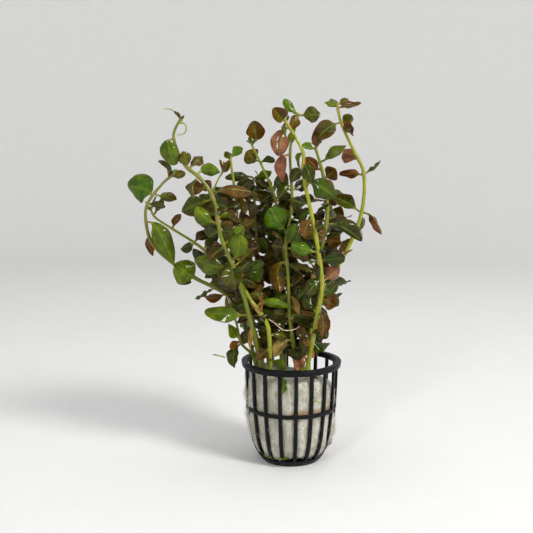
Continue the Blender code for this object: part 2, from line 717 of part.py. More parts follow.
def build():
    clear_scene()
    plant = collection("ludwigia_repens")
    cutters = collection("cutters")
    cutters.hide_render = True
    black = material("pot_plastic", (0.012, 0.013, 0.016), 0.4)
    white = material("wet_rock_wool", (0.55, 0.53, 0.46), 0.95)
    green = material("stem_skin", (0.30, 0.36, 0.035), 0.4)
    tints = {name: material(f"leaf_{name}", colour, 0.3) for name, colour in TINTS.items()}
    net_pot(plant, cutters, black)
    rock_wool(plant, cutters, white)
    leaves = placed_leaves()
    for leaf in leaves:
        if leaf.apart:
            leaf_solid(leaf, plant, tints[leaf.tint])
    for number, (radius, route) in enumerate(STEMS, 1):
        small = [leaf_solid(leaf, cutters) for leaf in leaves if leaf.stem_number == number and not leaf.apart]
        shoot = stem(f"stem_{number:02d}", radius, route, cutters)
        # The exact solver loses a thin stalk that leaves a stem at a shallow angle
        combined(shoot, small, "UNION", plant, green, solver="MANIFOLD")


build()
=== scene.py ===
# %% [markdown]
# # A bunch of Ludwigia repens in its net pot
#
# Ludwigia repens is a stem plant for aquariums. It is sold as a bunch of cut shoots that are pushed
# into a black plastic net pot packed with white rock wool. The shoots fan out of the pot, and each
# carries pairs of oval leaves on short stalks, green above and reddish below, wet and glossy.
#
# The plain solids of the plant are loaded first, because they fix every size and place. Each step
# after that gives one of them its real surface.

import math
import random

import bmesh
import bpy
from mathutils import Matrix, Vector, noise
from mathutils.bvhtree import BVHTree


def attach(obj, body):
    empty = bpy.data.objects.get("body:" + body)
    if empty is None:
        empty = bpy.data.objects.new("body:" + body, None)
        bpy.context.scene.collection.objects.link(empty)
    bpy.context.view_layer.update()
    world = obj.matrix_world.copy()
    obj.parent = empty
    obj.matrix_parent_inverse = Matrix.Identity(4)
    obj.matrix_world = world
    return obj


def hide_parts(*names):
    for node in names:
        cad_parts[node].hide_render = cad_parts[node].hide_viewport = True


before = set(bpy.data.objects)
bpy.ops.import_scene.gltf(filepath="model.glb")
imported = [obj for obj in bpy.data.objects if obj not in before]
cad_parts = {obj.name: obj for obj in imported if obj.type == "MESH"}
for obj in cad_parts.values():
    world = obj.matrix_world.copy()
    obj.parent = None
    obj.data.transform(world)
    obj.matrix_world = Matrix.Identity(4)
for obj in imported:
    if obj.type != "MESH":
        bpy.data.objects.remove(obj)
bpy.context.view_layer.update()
MM = 0.001
TAU = 2 * math.pi
FRONT = Vector((0.0, -1.0, 0.0))
UP = Vector((0.0, 0.0, 1.0))

# %% [markdown]
# ## Node trees written as sums
#
# A material or a Geometry Nodes tree is a set of nodes and links. Written out one by one they hide
# the idea, so one small class wraps a socket and lets ordinary sums make the Math nodes. Every
# other node comes from a single method that takes its type, its settings and its sockets.

# %% Sockets that can be added and multiplied
class Wire:
    """An output socket. Sums on it add Math nodes to its graph."""

    def __init__(self, graph, socket):
        self.graph = graph
        self.socket = socket

    def maths(self, operation, first, second):
        return self.graph.node("ShaderNodeMath", {"operation": operation}, {0: first, 1: second})

    def __add__(self, other):
        return self.maths("ADD", self, other)

    def __radd__(self, other):
        return self.maths("ADD", other, self)

    def __sub__(self, other):
        return self.maths("SUBTRACT", self, other)

    def __rsub__(self, other):
        return self.maths("SUBTRACT", other, self)

    def __mul__(self, other):
        return self.maths("MULTIPLY", self, other)

    def __rmul__(self, other):
        return self.maths("MULTIPLY", other, self)

    def __truediv__(self, other):
        return self.maths("DIVIDE", self, other)

    def __pow__(self, other):
        return self.maths("POWER", self, other)

    def __mod__(self, other):
        return self.maths("FLOORED_MODULO", self, other)

    def __abs__(self):
        return self.maths("ABSOLUTE", self, 0.0)


class Graph:
    """A node tree, shader or geometry, built by writing it down."""

    def __init__(self, tree):
        self.tree = tree

    def node(self, kind, settings=None, sockets=None, out=0):
        made = self.tree.nodes.new(kind)
        for name, value in (settings or {}).items():
            setattr(made, name, value)
        for name, value in (sockets or {}).items():
            self.plug(value, made.inputs[name])
        return Wire(self, made.outputs[out])

    def plug(self, value, socket):
        if isinstance(value, Wire):
            self.tree.links.new(value.socket, socket)
        elif isinstance(value, tuple) and len(value) == 3 and socket.type == "RGBA":
            socket.default_value = (*value, 1.0)
        else:
            socket.default_value = value


print("node helpers ready")

# %% A finish: one material and its usual wires
class Finish(Graph):
    """A material with a Principled shader."""

    def __init__(self, name):
        self.material = bpy.data.materials.new(name)
        self.material.use_nodes = True
        super().__init__(self.material.node_tree)
        self.shader = self.tree.nodes["Principled BSDF"]

    def set(self, **values):
        for name, value in values.items():
            self.plug(value, self.shader.inputs[name.replace("_", " ")])

    def place(self):
        return self.node("ShaderNodeTexCoord", out="Object")

    def stretched(self, scale):
        """Object coordinates stretched by a scale along each axis."""
        return self.node("ShaderNodeVectorMath", {"operation": "MULTIPLY"}, {0: self.place(), 1: scale})

    def clouds(self, where, scale, detail=3.0, roughness=0.55):
        sockets = {"Vector": where, "Scale": scale, "Detail": detail, "Roughness": roughness}
        return self.node("ShaderNodeTexNoise", None, sockets)

    def band(self, value, low, high):
        """0 below low, 1 above high and a smooth rise between them."""
        settings = {"interpolation_type": "SMOOTHSTEP"}
        return self.node("ShaderNodeMapRange", settings, {"Value": value, "From Min": low, "From Max": high})

    def mix(self, share, first, second):
        return self.node("ShaderNodeMix", {"data_type": "RGBA"}, {0: share, 6: first, 7: second}, out=2)

    def attribute(self, name, out="Fac"):
        return self.node("ShaderNodeAttribute", {"attribute_name": name}, None, out)

    def relief(self, height, depth, strength=1.0):
        bump = self.node("ShaderNodeBump", None, {"Height": height, "Distance": depth, "Strength": strength})
        self.plug(bump, self.shader.inputs["Normal"])


print("finish helper ready")

# %% [markdown]
# ## Shapes from Geometry Nodes
#
# The basket's ribs repeat round an axis, the stems and roots are tubes along a path, and the wool's
# fibres are scattered over its skin. Geometry Nodes suit all three: a tree is built once, with
# named inputs, and is used on each object that needs it. The result is then made a plain mesh.

# %% Trees of Geometry Nodes and the meshes they make
def geometry_graph(name, inputs):
    """A geometry tree with the named inputs, and a wire for each."""
    tree = bpy.data.node_groups.new(name, "GeometryNodeTree")
    tree.interface.new_socket("Geometry", in_out="INPUT", socket_type="NodeSocketGeometry")
    for label, kind in inputs:
        tree.interface.new_socket(label, in_out="INPUT", socket_type=kind)
    tree.interface.new_socket("Geometry", in_out="OUTPUT", socket_type="NodeSocketGeometry")
    graph = Graph(tree)
    entry = tree.nodes.new("NodeGroupInput")
    wires = {socket.name: Wire(graph, socket) for socket in entry.outputs if socket.name}
    return graph, wires


def finish_graph(graph, geometry, material):
    """Realises the instances, shades them smooth, sets the material and ends the tree."""
    real = graph.node("GeometryNodeRealizeInstances", None, {"Geometry": geometry})
    smooth = graph.node("GeometryNodeSetShadeSmooth", None, {"Geometry": real})
    painted = graph.node("GeometryNodeSetMaterial", None, {"Geometry": smooth, "Material": material})
    leave = graph.tree.nodes.new("NodeGroupOutput")
    graph.plug(painted, leave.inputs[0])


def grown(source, graph, values):
    """The source object replaced by the plain mesh that a geometry tree makes of it."""
    step = source.modifiers.new(graph.tree.name, "NODES")
    step.node_group = graph.tree
    for socket in graph.tree.interface.items_tree:
        if socket.in_out == "INPUT" and socket.name in values:
            step[socket.identifier] = values[socket.name]
    bpy.context.view_layer.update()
    shown = source.evaluated_get(bpy.context.evaluated_depsgraph_get())
    mesh = bpy.data.meshes.new_from_object(shown)
    source.modifiers.remove(step)
    name = source.name
    bpy.data.objects.remove(source, do_unlink=True)
    return object_of(name, mesh)


def object_of(name, mesh, *materials):
    mesh.name = name
    for material in materials:
        mesh.materials.append(material)
    made = bpy.data.objects.new(name, mesh)
    bpy.context.scene.collection.objects.link(made)
    return made


def mesh_of(name, points, faces):
    """A mesh of these faces, turned outwards and shaded smooth."""
    mesh = bpy.data.meshes.new(name)
    mesh.from_pydata([tuple(p) for p in points], [], faces)
    edit = bmesh.new()
    edit.from_mesh(mesh)
    bmesh.ops.recalc_face_normals(edit, faces=edit.faces)
    edit.to_mesh(mesh)
    edit.free()
    mesh.shade_smooth()
    return mesh


def triangles(made):
    made.data.calc_loop_triangles()
    return len(made.data.loop_triangles)


print("geometry helpers ready")

# %% A tree that turns copies round the upright axis
copies, wires = geometry_graph("copies_round_the_axis", [
    ("Count", "NodeSocketInt"), ("First Turn", "NodeSocketFloat"), ("Material", "NodeSocketMaterial")])
points = copies.node("GeometryNodePoints", None, {"Count": wires["Count"]})
turn = wires["First Turn"] + copies.node("GeometryNodeInputIndex") * TAU / wires["Count"]
euler = copies.node("ShaderNodeCombineXYZ", None, {"Z": turn})
rotation = copies.node("FunctionNodeEulerToRotation", None, {0: euler})
placed = copies.node("GeometryNodeInstanceOnPoints", None, {
    "Points": points, "Instance": wires["Geometry"], "Rotation": rotation})
finish_graph(copies, placed, wires["Material"])
print("tree:", copies.tree.name)

# %% A tree that runs a round tube along a line of points
tube, wires = geometry_graph("tube_along_a_line", [
    ("Sides", "NodeSocketInt"), ("Material", "NodeSocketMaterial")])
line = tube.node("GeometryNodeMeshToCurve", None, {"Mesh": wires["Geometry"]})
reach = tube.node("GeometryNodeInputNamedAttribute", {"data_type": "FLOAT"}, {"Name": "radius"})
ring = tube.node("GeometryNodeCurvePrimitiveCircle", None, {"Resolution": wires["Sides"], "Radius": 1.0})
skin = tube.node("GeometryNodeCurveToMesh", None, {
    "Curve": line, "Profile Curve": ring, "Scale": reach, "Fill Caps": True})
finish_graph(tube, skin, wires["Material"])


def tube_along(name, places, radii, material, sides=10, marks=None):
    """A closed tube through the places, with a radius and any other numbers at each of them."""
    mesh = bpy.data.meshes.new(name)
    mesh.from_pydata([tuple(p) for p in places], [(i, i + 1) for i in range(len(places) - 1)], [])
    for label, numbers in {"radius": radii, **(marks or {})}.items():
        mesh.attributes.new(label, "FLOAT", "POINT").data.foreach_set("value", numbers)
    return grown(object_of(name, mesh), tube, {"Sides": sides, "Material": material})


print("tree:", tube.tree.name)

# %% [markdown]
# ## The net pot
#
# The pot is one moulding of black polypropylene: a flat rim band, 18 upright ribs that curve in
# under the wool, a thin ring half way up, and a base ring with spokes. It is satin, a little
# scratched, and wet. A lathe profile suits the rings and one swept bar suits a rib, so the rings
# are turned and a single rib and a single spoke are copied round the axis.

# %% Black moulded plastic
plastic = Finish("pot_plastic")
scuffs = plastic.clouds(plastic.place(), 260.0, 4.0)
grain = plastic.clouds(plastic.place(), 2600.0, 2.0)
dust = plastic.band(plastic.clouds(plastic.stretched((1.0, 1.0, 0.35)), 420.0, 5.0, 0.7), 0.56, 0.72)
plastic.set(
    Base_Color=plastic.mix(dust * 0.4, (0.0022, 0.0027, 0.0042), (0.016, 0.017, 0.020)),
    Roughness=0.34 + scuffs * 0.24 + dust * 0.12,
    Coat_Weight=0.14,
    Coat_Roughness=0.22,
    Specular_IOR_Level=0.10,
)
plastic.relief(scuffs * 0.7 + grain * 0.3, 0.00006, 0.7)
print("finish:", plastic.material.name)

# %% The pot's sizes
# The picture's widths at the rim's scale of 0.49 mm to the pixel; the base is a guess
POT_HEIGHT = 50.6 * MM
RIM_RADIUS = 25.0 * MM
RIM_HEIGHT = 2.8 * MM
WALL = 1.3 * MM
RIB_COUNT = 18
RIB_WIDTH = 1.8 * MM
FIRST_RIB_DEG = -85.5
MID_RING_Z = 26.4 * MM
MID_RING_HEIGHT = 1.9 * MM
BASE_RADIUS = 14.6 * MM
BASE_THICKNESS = 1.6 * MM
BASE_BAND = 3.0 * MM
BASE_RING_INNER = 11.0 * MM
HUB_RADIUS = 4.4 * MM
SPOKE_COUNT = 9
# Height and outer radius of the wall in millimetres
WALL_OUTLINE = [(0.4, 14.9), (1.0, 15.5), (3.4, 17.0), (6.0, 18.5), (9.5, 19.9), (15.0, 21.1),
                (26.4, 22.5), (37.5, 23.1), (48.6, 23.4)]
first_rib = math.radians(FIRST_RIB_DEG)


def between(points, value):
    """The second number at a value of the first, along straight lines between the points."""
    low = points[0]
    for high in points[1:]:
        if value <= high[0]:
            share = (value - low[0]) / (high[0] - low[0])
            return low[1] + share * (high[1] - low[1])
        low = high
    return points[-1][1]


def wall_radius(z):
    return between(WALL_OUTLINE, z / MM) * MM


print("rib every", 360 / RIB_COUNT, "degrees")

# %% Rounded outlines and turned rings
def rounded(outline, radius, steps=3):
    """A closed outline with each corner cut back by a radius and rounded."""
    soft = []
    count = len(outline)
    for i in range(count):
        before, corner, after = (Vector(outline[(i + k) % count]) for k in (-1, 0, 1))
        back = min(radius, (before - corner).length * 0.45)
        on = min(radius, (after - corner).length * 0.45)
        start = corner + (before - corner).normalized() * back
        end = corner + (after - corner).normalized() * on
        for k in range(steps + 1):
            t = k / steps
            soft.append((1 - t) ** 2 * start + 2 * t * (1 - t) * corner + t * t * end)
    return soft


def turned(name, outline, steps=96):
    """A closed outline of (radius, height) turned once round the upright axis."""
    points = []
    for i in range(steps):
        angle = TAU * i / steps
        points += [(r * math.cos(angle), r * math.sin(angle), z) for r, z in outline]
    count = len(outline)
    faces = []
    for i in range(steps):
        here, there = i * count, (i + 1) % steps * count
        for k in range(count):
            j = (k + 1) % count
            faces.append((here + k, here + j, there + j, there + k))
    return object_of(name, mesh_of(name, points, faces), plastic.material)


def swept(name, path, width, depth):
    """A bar of a rounded section along a path of (radius, height), width across and depth inwards."""
    section = rounded([(-width / 2, 0), (width / 2, 0), (width / 2, depth), (-width / 2, depth)], depth * 0.3)
    points = []
    for i, (r, z) in enumerate(path):
        low, high = Vector(path[max(i - 1, 0)]), Vector(path[min(i + 1, len(path) - 1)])
        way = (high - low).normalized()
        for across, inward in section:
            points.append((r - inward * way.y, across, z + inward * way.x))
    count = len(section)
    faces = [tuple(range(count)), tuple(reversed(range(len(points) - count, len(points))))]
    for i in range(len(path) - 1):
        for k in range(count):
            j = (k + 1) % count
            faces.append((i * count + k, i * count + j, (i + 1) * count + j, (i + 1) * count + k))
    return object_of(name, mesh_of(name, points, faces))


print("profile helpers ready")

# %% Mould the basket
RIM_DRAFT = 0.35 * MM
RING_STANDS_OUT = 0.12 * MM
rim_foot = POT_HEIGHT - RIM_HEIGHT
inside = wall_radius(rim_foot) - WALL - 0.15 * MM
rim = turned("rim", rounded([
    (inside, POT_HEIGHT), (RIM_RADIUS, POT_HEIGHT), (RIM_RADIUS - RIM_DRAFT, rim_foot),
    (inside, rim_foot)], 0.5 * MM), 128)
low, high = MID_RING_Z, MID_RING_Z + MID_RING_HEIGHT
middle = turned("middle", rounded([
    (wall_radius(high) + RING_STANDS_OUT, high), (wall_radius(low) + RING_STANDS_OUT, low),
    (wall_radius(low) - WALL, low), (wall_radius(high) - WALL, high)], 0.35 * MM))
base = turned("base", rounded([
    (wall_radius(BASE_BAND) + 0.1 * MM, BASE_BAND), (BASE_RADIUS, 0.0), (BASE_RING_INNER, 0.0),
    (BASE_RING_INNER, BASE_THICKNESS), (wall_radius(BASE_BAND) - WALL, BASE_BAND)], 0.4 * MM))
bpy.ops.mesh.primitive_cylinder_add(
    vertices=48, radius=HUB_RADIUS, depth=BASE_THICKNESS, location=(0, 0, BASE_THICKNESS / 2))
hub = bpy.context.object
hub.data.transform(hub.matrix_world)
hub.matrix_world.identity()
hub.data.materials.append(plastic.material)
heights = [0.6 + 48.0 * i / 40 for i in range(41)]
ribs = grown(
    swept("ribs", [(wall_radius(z * MM), z * MM) for z in heights], RIB_WIDTH, WALL), copies,
    {"Count": RIB_COUNT, "First Turn": first_rib, "Material": plastic.material})
flat = [(HUB_RADIUS - 0.8 * MM, 0.2 * MM), (BASE_RING_INNER + 0.8 * MM, 0.2 * MM)]
spokes = grown(
    swept("spokes", flat, RIB_WIDTH, BASE_THICKNESS - 0.4 * MM), copies,
    {"Count": SPOKE_COUNT, "First Turn": first_rib, "Material": plastic.material})


def joined(name, pieces):
    """Several objects made one piece."""
    with bpy.context.temp_override(active_object=pieces[0], selected_editable_objects=pieces):
        bpy.ops.object.join()
    pieces[0].name = name
    pieces[0].data.name = name
    return pieces[0]


pot = joined("net_pot_moulding", [rim, middle, base, hub, ribs, spokes])
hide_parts("net_pot")
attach(pot, "root")
print("net pot triangles:", triangles(pot))

# %% [markdown]
# ## The rock wool
#
# The wool is a wad of spun mineral fibre, white when new and grey-beige once it is wet. It swells
# a little through every slot of the basket, is pinched behind the ribs and the middle ring, and
# bulges out at the sides. A skin laid round the axis ring by ring can follow all of that by a rule:
# its radius swells between two ribs, and noise gives it its folds.

# %% Wet fibre
wool = Finish("wet_rock_wool")
upright = wool.stretched((1.0, 1.0, 0.65))
patches = wool.clouds(wool.place(), 150.0, 4.0)
streaks = wool.clouds(upright, 700.0, 5.0, 0.7)
threads = wool.clouds(upright, 3000.0, 3.0, 0.75)
pale = wool.mix(wool.band(patches, 0.38, 0.60), (0.34, 0.315, 0.23), (0.55, 0.53, 0.46))
damp = wool.mix(wool.band(streaks, 0.30, 0.54), (0.25, 0.23, 0.155), pale)
across = wool.node("ShaderNodeSeparateXYZ", None, {0: wool.place()}, "X")
height = wool.node("ShaderNodeSeparateXYZ", None, {0: wool.place()}, "Z")
# The rust sits on the middle ring, from a little left of the front to the right
by_ring = wool.band(height, 0.0268, 0.0284) * (1 - wool.band(height, 0.0292, 0.0312))
right_side = wool.band(across, -0.006, 0.004) * wool.band(streaks, 0.36, 0.56)
rusty = wool.mix(by_ring * right_side * 0.85, damp, (0.36, 0.15, 0.020))
wool.set(
    Base_Color=wool.mix(wool.band(threads, 0.52, 0.70) * 0.55, rusty, (0.76, 0.75, 0.69)),
    Roughness=0.42 + wool.band(streaks, 0.35, 0.65) * 0.40,
    Coat_Weight=0.45,
    Coat_Roughness=0.20,
    Specular_IOR_Level=0.3,
    Subsurface_Weight=0.18,
    Subsurface_Scale=0.002,
)
wool.relief(threads * 0.5 + streaks * 0.5, 0.00035, 0.9)
print("finish:", wool.material.name)

# %% How far the wool swells
WOOL_TOP = 45.5 * MM
WOOL_DIP = 6.5 * MM
WOOL_FLOOR = 2.4 * MM


def hump(value, middle, reach):
    """1 at the middle, falling to 0 over a reach to each side."""
    return math.exp(-((value - middle) / reach) ** 2)


def wool_top(x, y):
    """Height of the wool's top, which sinks towards the right and the back."""
    lean = max(0.0, (x + 0.6 * y) / (18.0 * MM))
    return WOOL_TOP - WOOL_DIP * min(1.0, lean)


def side_bulge(angle, z):
    """How much the wool is pressed out of the slots at the left and low at the right."""
    left = hump(math.cos(angle), -1.0, 0.16) * hump(z, 25 * MM, 13 * MM)
    right = hump(math.cos(angle), 1.0, 0.10) * hump(z, 14 * MM, 9 * MM)
    return left, right


def wool_radius(angle, z):
    inner = wall_radius(z) - WALL
    slot = (0.5 - 0.5 * math.cos(RIB_COUNT * (angle - first_rib))) ** 0.7
    pinched = 1.0 - 0.8 * hump(z, MID_RING_Z + MID_RING_HEIGHT / 2, 2.4 * MM)
    left, right = side_bulge(angle, z)
    around = Vector((math.cos(angle), math.sin(angle), 0.0))
    folds = noise.noise(around * 7.0 + UP * z / (16 * MM))
    creases = noise.noise(around * 26.0 + UP * z / (9 * MM))
    swell = slot * pinched * (0.75 + 1.4 * left + 1.6 * right + 0.9 * folds)
    return inner - 0.35 * MM + swell * MM + (0.45 * folds + 0.35 * creases) * MM * (0.4 + 0.6 * slot)


print("wool radius in mm at the front:", round(wool_radius(-math.pi / 2, 0.015) / MM, 2))

# %% Lay the wool's skin ring by ring
WOOL_AROUND = RIB_COUNT * 14
WOOL_UP = 76


def worn_notch(x):
    """How far the wool's underside is raised where a gap shows low in the front."""
    return 1.4 * MM * hump(x, 2.5 * MM, 3.6 * MM)


def wool_side(share):
    ring = []
    for i in range(WOOL_AROUND):
        angle = TAU * i / WOOL_AROUND
        edge = wall_radius(0.02) * 0.93
        top = wool_top(edge * math.cos(angle), edge * math.sin(angle)) - 0.6 * MM
        z = WOOL_FLOOR + share * (top - WOOL_FLOOR)
        below, above = min(1.0, (z - WOOL_FLOOR) / (3.5 * MM)), min(1.0, (top - z) / (2.5 * MM))
        radius = wool_radius(angle, z) - 2.2 * MM * (1 - below) ** 2 - 1.8 * MM * (1 - above) ** 2
        x, y = radius * math.cos(angle), radius * math.sin(angle)
        ring.append(Vector((x, y, z + worn_notch(x) * (1 - share) ** 5)))
    return ring


def wool_cap(ring, share, is_top):
    """A ring drawn in towards the axis, following the tousled top or the underside."""
    inner = []
    for p in ring:
        x, y = p.x * share, p.y * share
        if is_top:
            tufts = noise.noise(Vector((x, y, 0)) / (5 * MM)) * 1.5
            tufts += noise.noise(Vector((x, y, 9)) / (1.7 * MM)) * 0.5
            z = wool_top(x, y) + tufts * MM * (1 - share**6)
        else:
            z = WOOL_FLOOR + worn_notch(x)
        inner.append(Vector((x, y, z)))
    return inner


BOTTOM_SHARES = (0.15, 0.4, 0.65, 0.88)
TOP_SHARES = (0.97, 0.92, 0.84, 0.75, 0.65, 0.54, 0.43, 0.32, 0.2, 0.1)
sides = [wool_side(i / WOOL_UP) for i in range(WOOL_UP + 1)]
bottoms = [wool_cap(sides[0], share, False) for share in BOTTOM_SHARES]
tops = [wool_cap(sides[-1], share, True) for share in TOP_SHARES]
rings = bottoms + sides + tops
points = [p for ring in rings for p in ring]
faces = []
for i in range(len(rings) - 1):
    for k in range(WOOL_AROUND):
        j = (k + 1) % WOOL_AROUND
        a, b = i * WOOL_AROUND, (i + 1) * WOOL_AROUND
        faces.append((a + k, a + j, b + j, b + k))
last = (len(rings) - 1) * WOOL_AROUND
points += [Vector((0, 0, WOOL_FLOOR + worn_notch(0.0))), Vector((0, 0, wool_top(0, 0)))]
faces += [((k + 1) % WOOL_AROUND, k, len(points) - 2) for k in range(WOOL_AROUND)]
faces += [(last + k, last + (k + 1) % WOOL_AROUND, len(points) - 1) for k in range(WOOL_AROUND)]
wad = object_of("rock_wool_wad", mesh_of("rock_wool_wad", points, faces), wool.material)
print("wool triangles:", triangles(wad))

# %% [markdown]
# ### Loose fibres
#
# Seen close, the wool is a felt of fine glassy threads that stand off its skin, longer where it
# is pressed out of the slots. They are scattered with Distribute Points on Faces, each one a thin
# bent tube of a few faces, laid along the skin and turned at random.

# %% Scatter the fibres
felt, wires = geometry_graph("fibres_on_a_skin", [
    ("Density", "NodeSocketFloat"), ("Length", "NodeSocketFloat"), ("Seed", "NodeSocketInt"),
    ("Material", "NodeSocketMaterial")])
loose = felt.node("GeometryNodeInputNamedAttribute", {"data_type": "FLOAT"}, {"Name": "loose"})
spread = felt.tree.nodes.new("GeometryNodeDistributePointsOnFaces")
felt.plug(wires["Geometry"], spread.inputs["Mesh"])
felt.plug(wires["Density"] * (0.30 + 1.3 * loose), spread.inputs["Density"])
felt.plug(wires["Seed"], spread.inputs["Seed"])
bend = felt.node("GeometryNodeCurveQuadraticBezier", None, {
    "Resolution": 5, "Start": (-0.5, 0.0, 0.0), "Middle": (0.05, 0.25, 0.16), "End": (0.5, -0.05, 0.06)})
thin = felt.node("GeometryNodeCurvePrimitiveCircle", None, {"Resolution": 3, "Radius": 0.0085})
thread = felt.node("GeometryNodeCurveToMesh", None, {"Curve": bend, "Profile Curve": thin, "Fill Caps": True})
spin = felt.node("FunctionNodeRandomValue", {"data_type": "FLOAT_VECTOR"}, {
    0: (-0.25, -0.30, 0.0), 1: (0.25, 0.05, TAU), "Seed": 3})
turned_by = felt.node("FunctionNodeEulerToRotation", None, {0: spin})
laid = felt.node("FunctionNodeRotateRotation", {"rotation_space": "LOCAL"}, {
    0: Wire(felt, spread.outputs["Rotation"]), 1: turned_by})
size = felt.node("FunctionNodeRandomValue", {"data_type": "FLOAT"}, {2: 0.45, 3: 1.3, "Seed": 5}, out=1)
fibres = felt.node("GeometryNodeInstanceOnPoints", None, {
    "Points": Wire(felt, spread.outputs["Points"]), "Instance": thread, "Rotation": laid,
    "Scale": size * wires["Length"] * (1.0 + loose)})
finish_graph(felt, fibres, wires["Material"])

fibre = Finish("glassy_fibre")
fibre.set(
    Base_Color=fibre.mix(fibre.clouds(fibre.place(), 300.0), (0.50, 0.48, 0.40), (0.86, 0.85, 0.80)),
    Roughness=0.25 + 0.3 * fibre.clouds(fibre.place(), 500.0),
    Coat_Weight=0.4,
)
print("tree:", felt.tree.name)

# %% Grow them on a copy of the wool's skin
FIBRES_PER_SQUARE_METRE = 6.0e5
FIBRE_LENGTH = 4.2 * MM
skin = object_of("fibres", wad.data.copy())
marks = []
for vertex in skin.data.vertices:
    left, right = side_bulge(math.atan2(vertex.co.y, vertex.co.x), vertex.co.z)
    marks.append(min(1.0, 0.8 * left + 0.7 * right))
skin.data.attributes.new("loose", "FLOAT", "POINT").data.foreach_set("value", marks)
fibres = grown(skin, felt, {
    "Density": FIBRES_PER_SQUARE_METRE, "Length": FIBRE_LENGTH, "Seed": 11, "Material": fibre.material})
print("fibre triangles:", triangles(fibres))
wad = joined("rock_wool_wad", [wad, fibres])
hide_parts("rock_wool")
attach(wad, "root")

# %% [markdown]
# ## The stems
#
# Each stem is a shoot of its own, about 2 mm thick, yellow-green and slightly swollen and tan at the
# joints where its leaves grow. A stem leans, arches and straightens again, so its route is given as
# a few points in millimetres, from its foot in the wool to its tip. A smooth line runs through them.

# %% Routes of the stems
STEM_TAPER = 0.45
# Each stem: radius in millimetres and the route of its centre from the wool to its tip
STEMS = [
    (1.20, [(-13, -5, 34), (-15, -6, 47), (-18, -9, 63), (-23, -14, 84), (-29, -18, 102), (-34, -18, 115),
            (-37, -16, 131), (-43, -15, 141), (-51, -13, 148), (-56, -12, 160), (-54, -12, 167), (-52, -12, 169)]),
    (1.15, [(-9, -8, 34), (-10.5, -9.5, 48), (-11, -12, 64), (-13, -12, 73), (-23, -10, 88), (-27, -4, 110),
            (-27, -2, 128), (-30, -2, 151)]),
    (1.10, [(-14, 3, 34), (-18, 4, 49), (-24, 6, 67), (-32, 6, 82), (-47, 2, 91), (-59, -2, 100), (-68, -6, 110),
            (-70.5, -8, 122), (-69, -8, 130), (-62, -6, 139), (-57, -5, 143)]),
    (0.95, [(-12, 8, 34), (-16, 9, 49), (-23, 12, 71), (-31, 12, 89), (-44, 8, 105), (-59, 3, 116), (-67, 0, 122),
            (-69, -1, 127)]),
    (0.95, [(-4, 5, 34), (-5, 6, 53), (-4, 8, 84), (-5, 7, 112), (-8, 5, 130), (-12, 3, 141), (-20, 2, 158)]),
    (0.95, [(-9, 8, 34), (-12, 10, 50), (-16, 12, 68), (-17.5, 11, 95), (-18, 8, 120), (-19, 8, 141)]),
    (1.25, [(6, -6, 34), (8, -8, 50), (11, -12, 69), (14, -16, 90), (12, -16, 108), (9, -15, 124), (5, -12, 143),
            (5, -11, 153), (1, -10, 161), (-4, -10, 169)]),
    (1.05, [(2, -2, 34), (2, -2, 50), (-1, -5, 73), (-2, -5, 95), (-3, -3, 109), (0, 0, 130), (-1, 0, 153),
            (1, -2, 164), (3, -3, 172)]),
    (1.20, [(5, 3, 34), (5, 2, 50), (6, -1, 70), (10, -5, 91), (15, -5, 111), (17, -5, 126), (15, -4, 142),
            (11, -3, 156)]),
    (1.20, [(9, 5, 34), (9, 4, 50), (11, 0, 75), (19, 2, 90), (29, 5, 108), (35, 6, 125), (35.5, 6, 143),
            (30, 6, 155), (24, 6, 168), (22, 6, 177)]),
    (0.85, [(-16, -1, 34), (-18, -1, 48), (-20, -2, 54), (-25, -4, 60), (-27, -7, 70), (-29, -8, 76)]),
    (0.75, [(-12, 0, 34), (-14, 1, 48), (-17, 0, 62), (-28, -5, 95), (-36, -9, 120), (-38, -8, 134), (-33, -8, 145)]),
    (1.05, [(-3, 12, 34), (-3, 13, 50), (-4, 18, 75), (-8, 22, 100), (-14, 24, 122), (-16, 22, 140)]),
    (1.05, [(6, 12, 34), (7, 13, 50), (10, 17, 72), (15, 21, 95), (18, 22, 115), (20, 20, 132)]),
]


def stem_radius(base, share):
    """Radius at a share of the stem's length."""
    return base * MM * (1.0 - STEM_TAPER * share * share)


def route_points(route):
    return [Vector(point) * MM for point in route]


def shares_along(points):
    """The share of the whole length at each point."""
    lengths = [0.0]
    for low, high in zip(points, points[1:]):
        lengths.append(lengths[-1] + (high - low).length)
    return [length / lengths[-1] for length in lengths]


def bent(points, i, t):
    """A place on the smooth line through the points, a share t of the way from point i to the next."""
    a, b = points[max(i - 1, 0)], points[i]
    c, d = points[i + 1], points[min(i + 2, len(points) - 1)]
    return 0.5 * (2 * b + (c - a) * t + (2 * a - 5 * b + 4 * c - d) * t**2 + (3 * b - a - 3 * c + d) * t**3)


def stem_at(number, height):
    """Centre, direction and radius of a stem at a height, and its centre on the smooth line."""
    radius, route = STEMS[number - 1]
    points = route_points(route)
    shares = shares_along(points)
    for i in range(1, len(points)):
        if height * MM <= points[i].z or i == len(points) - 1:
            low, high = points[i - 1], points[i]
            part = min(1.0, (height * MM - low.z) / (high.z - low.z))
            share = shares[i - 1] + part * (shares[i] - shares[i - 1])
            smooth = bent(points, i - 1, part)
            return low.lerp(high, part), (high - low).normalized(), stem_radius(radius, share), smooth
    return None


print("stems:", len(STEMS))

# %% [markdown]
# ## Where the leaves are
#
# A leaf is listed by the joint that it grows from, the reach from there to its tip, its width, the
# turn of its blade about its midrib and its tint. The blades must not run through each other, so
# every leaf is tried as listed, then a little smaller, turned or moved in depth, until it is free.
# Blender's search trees answer whether two shells overlap.

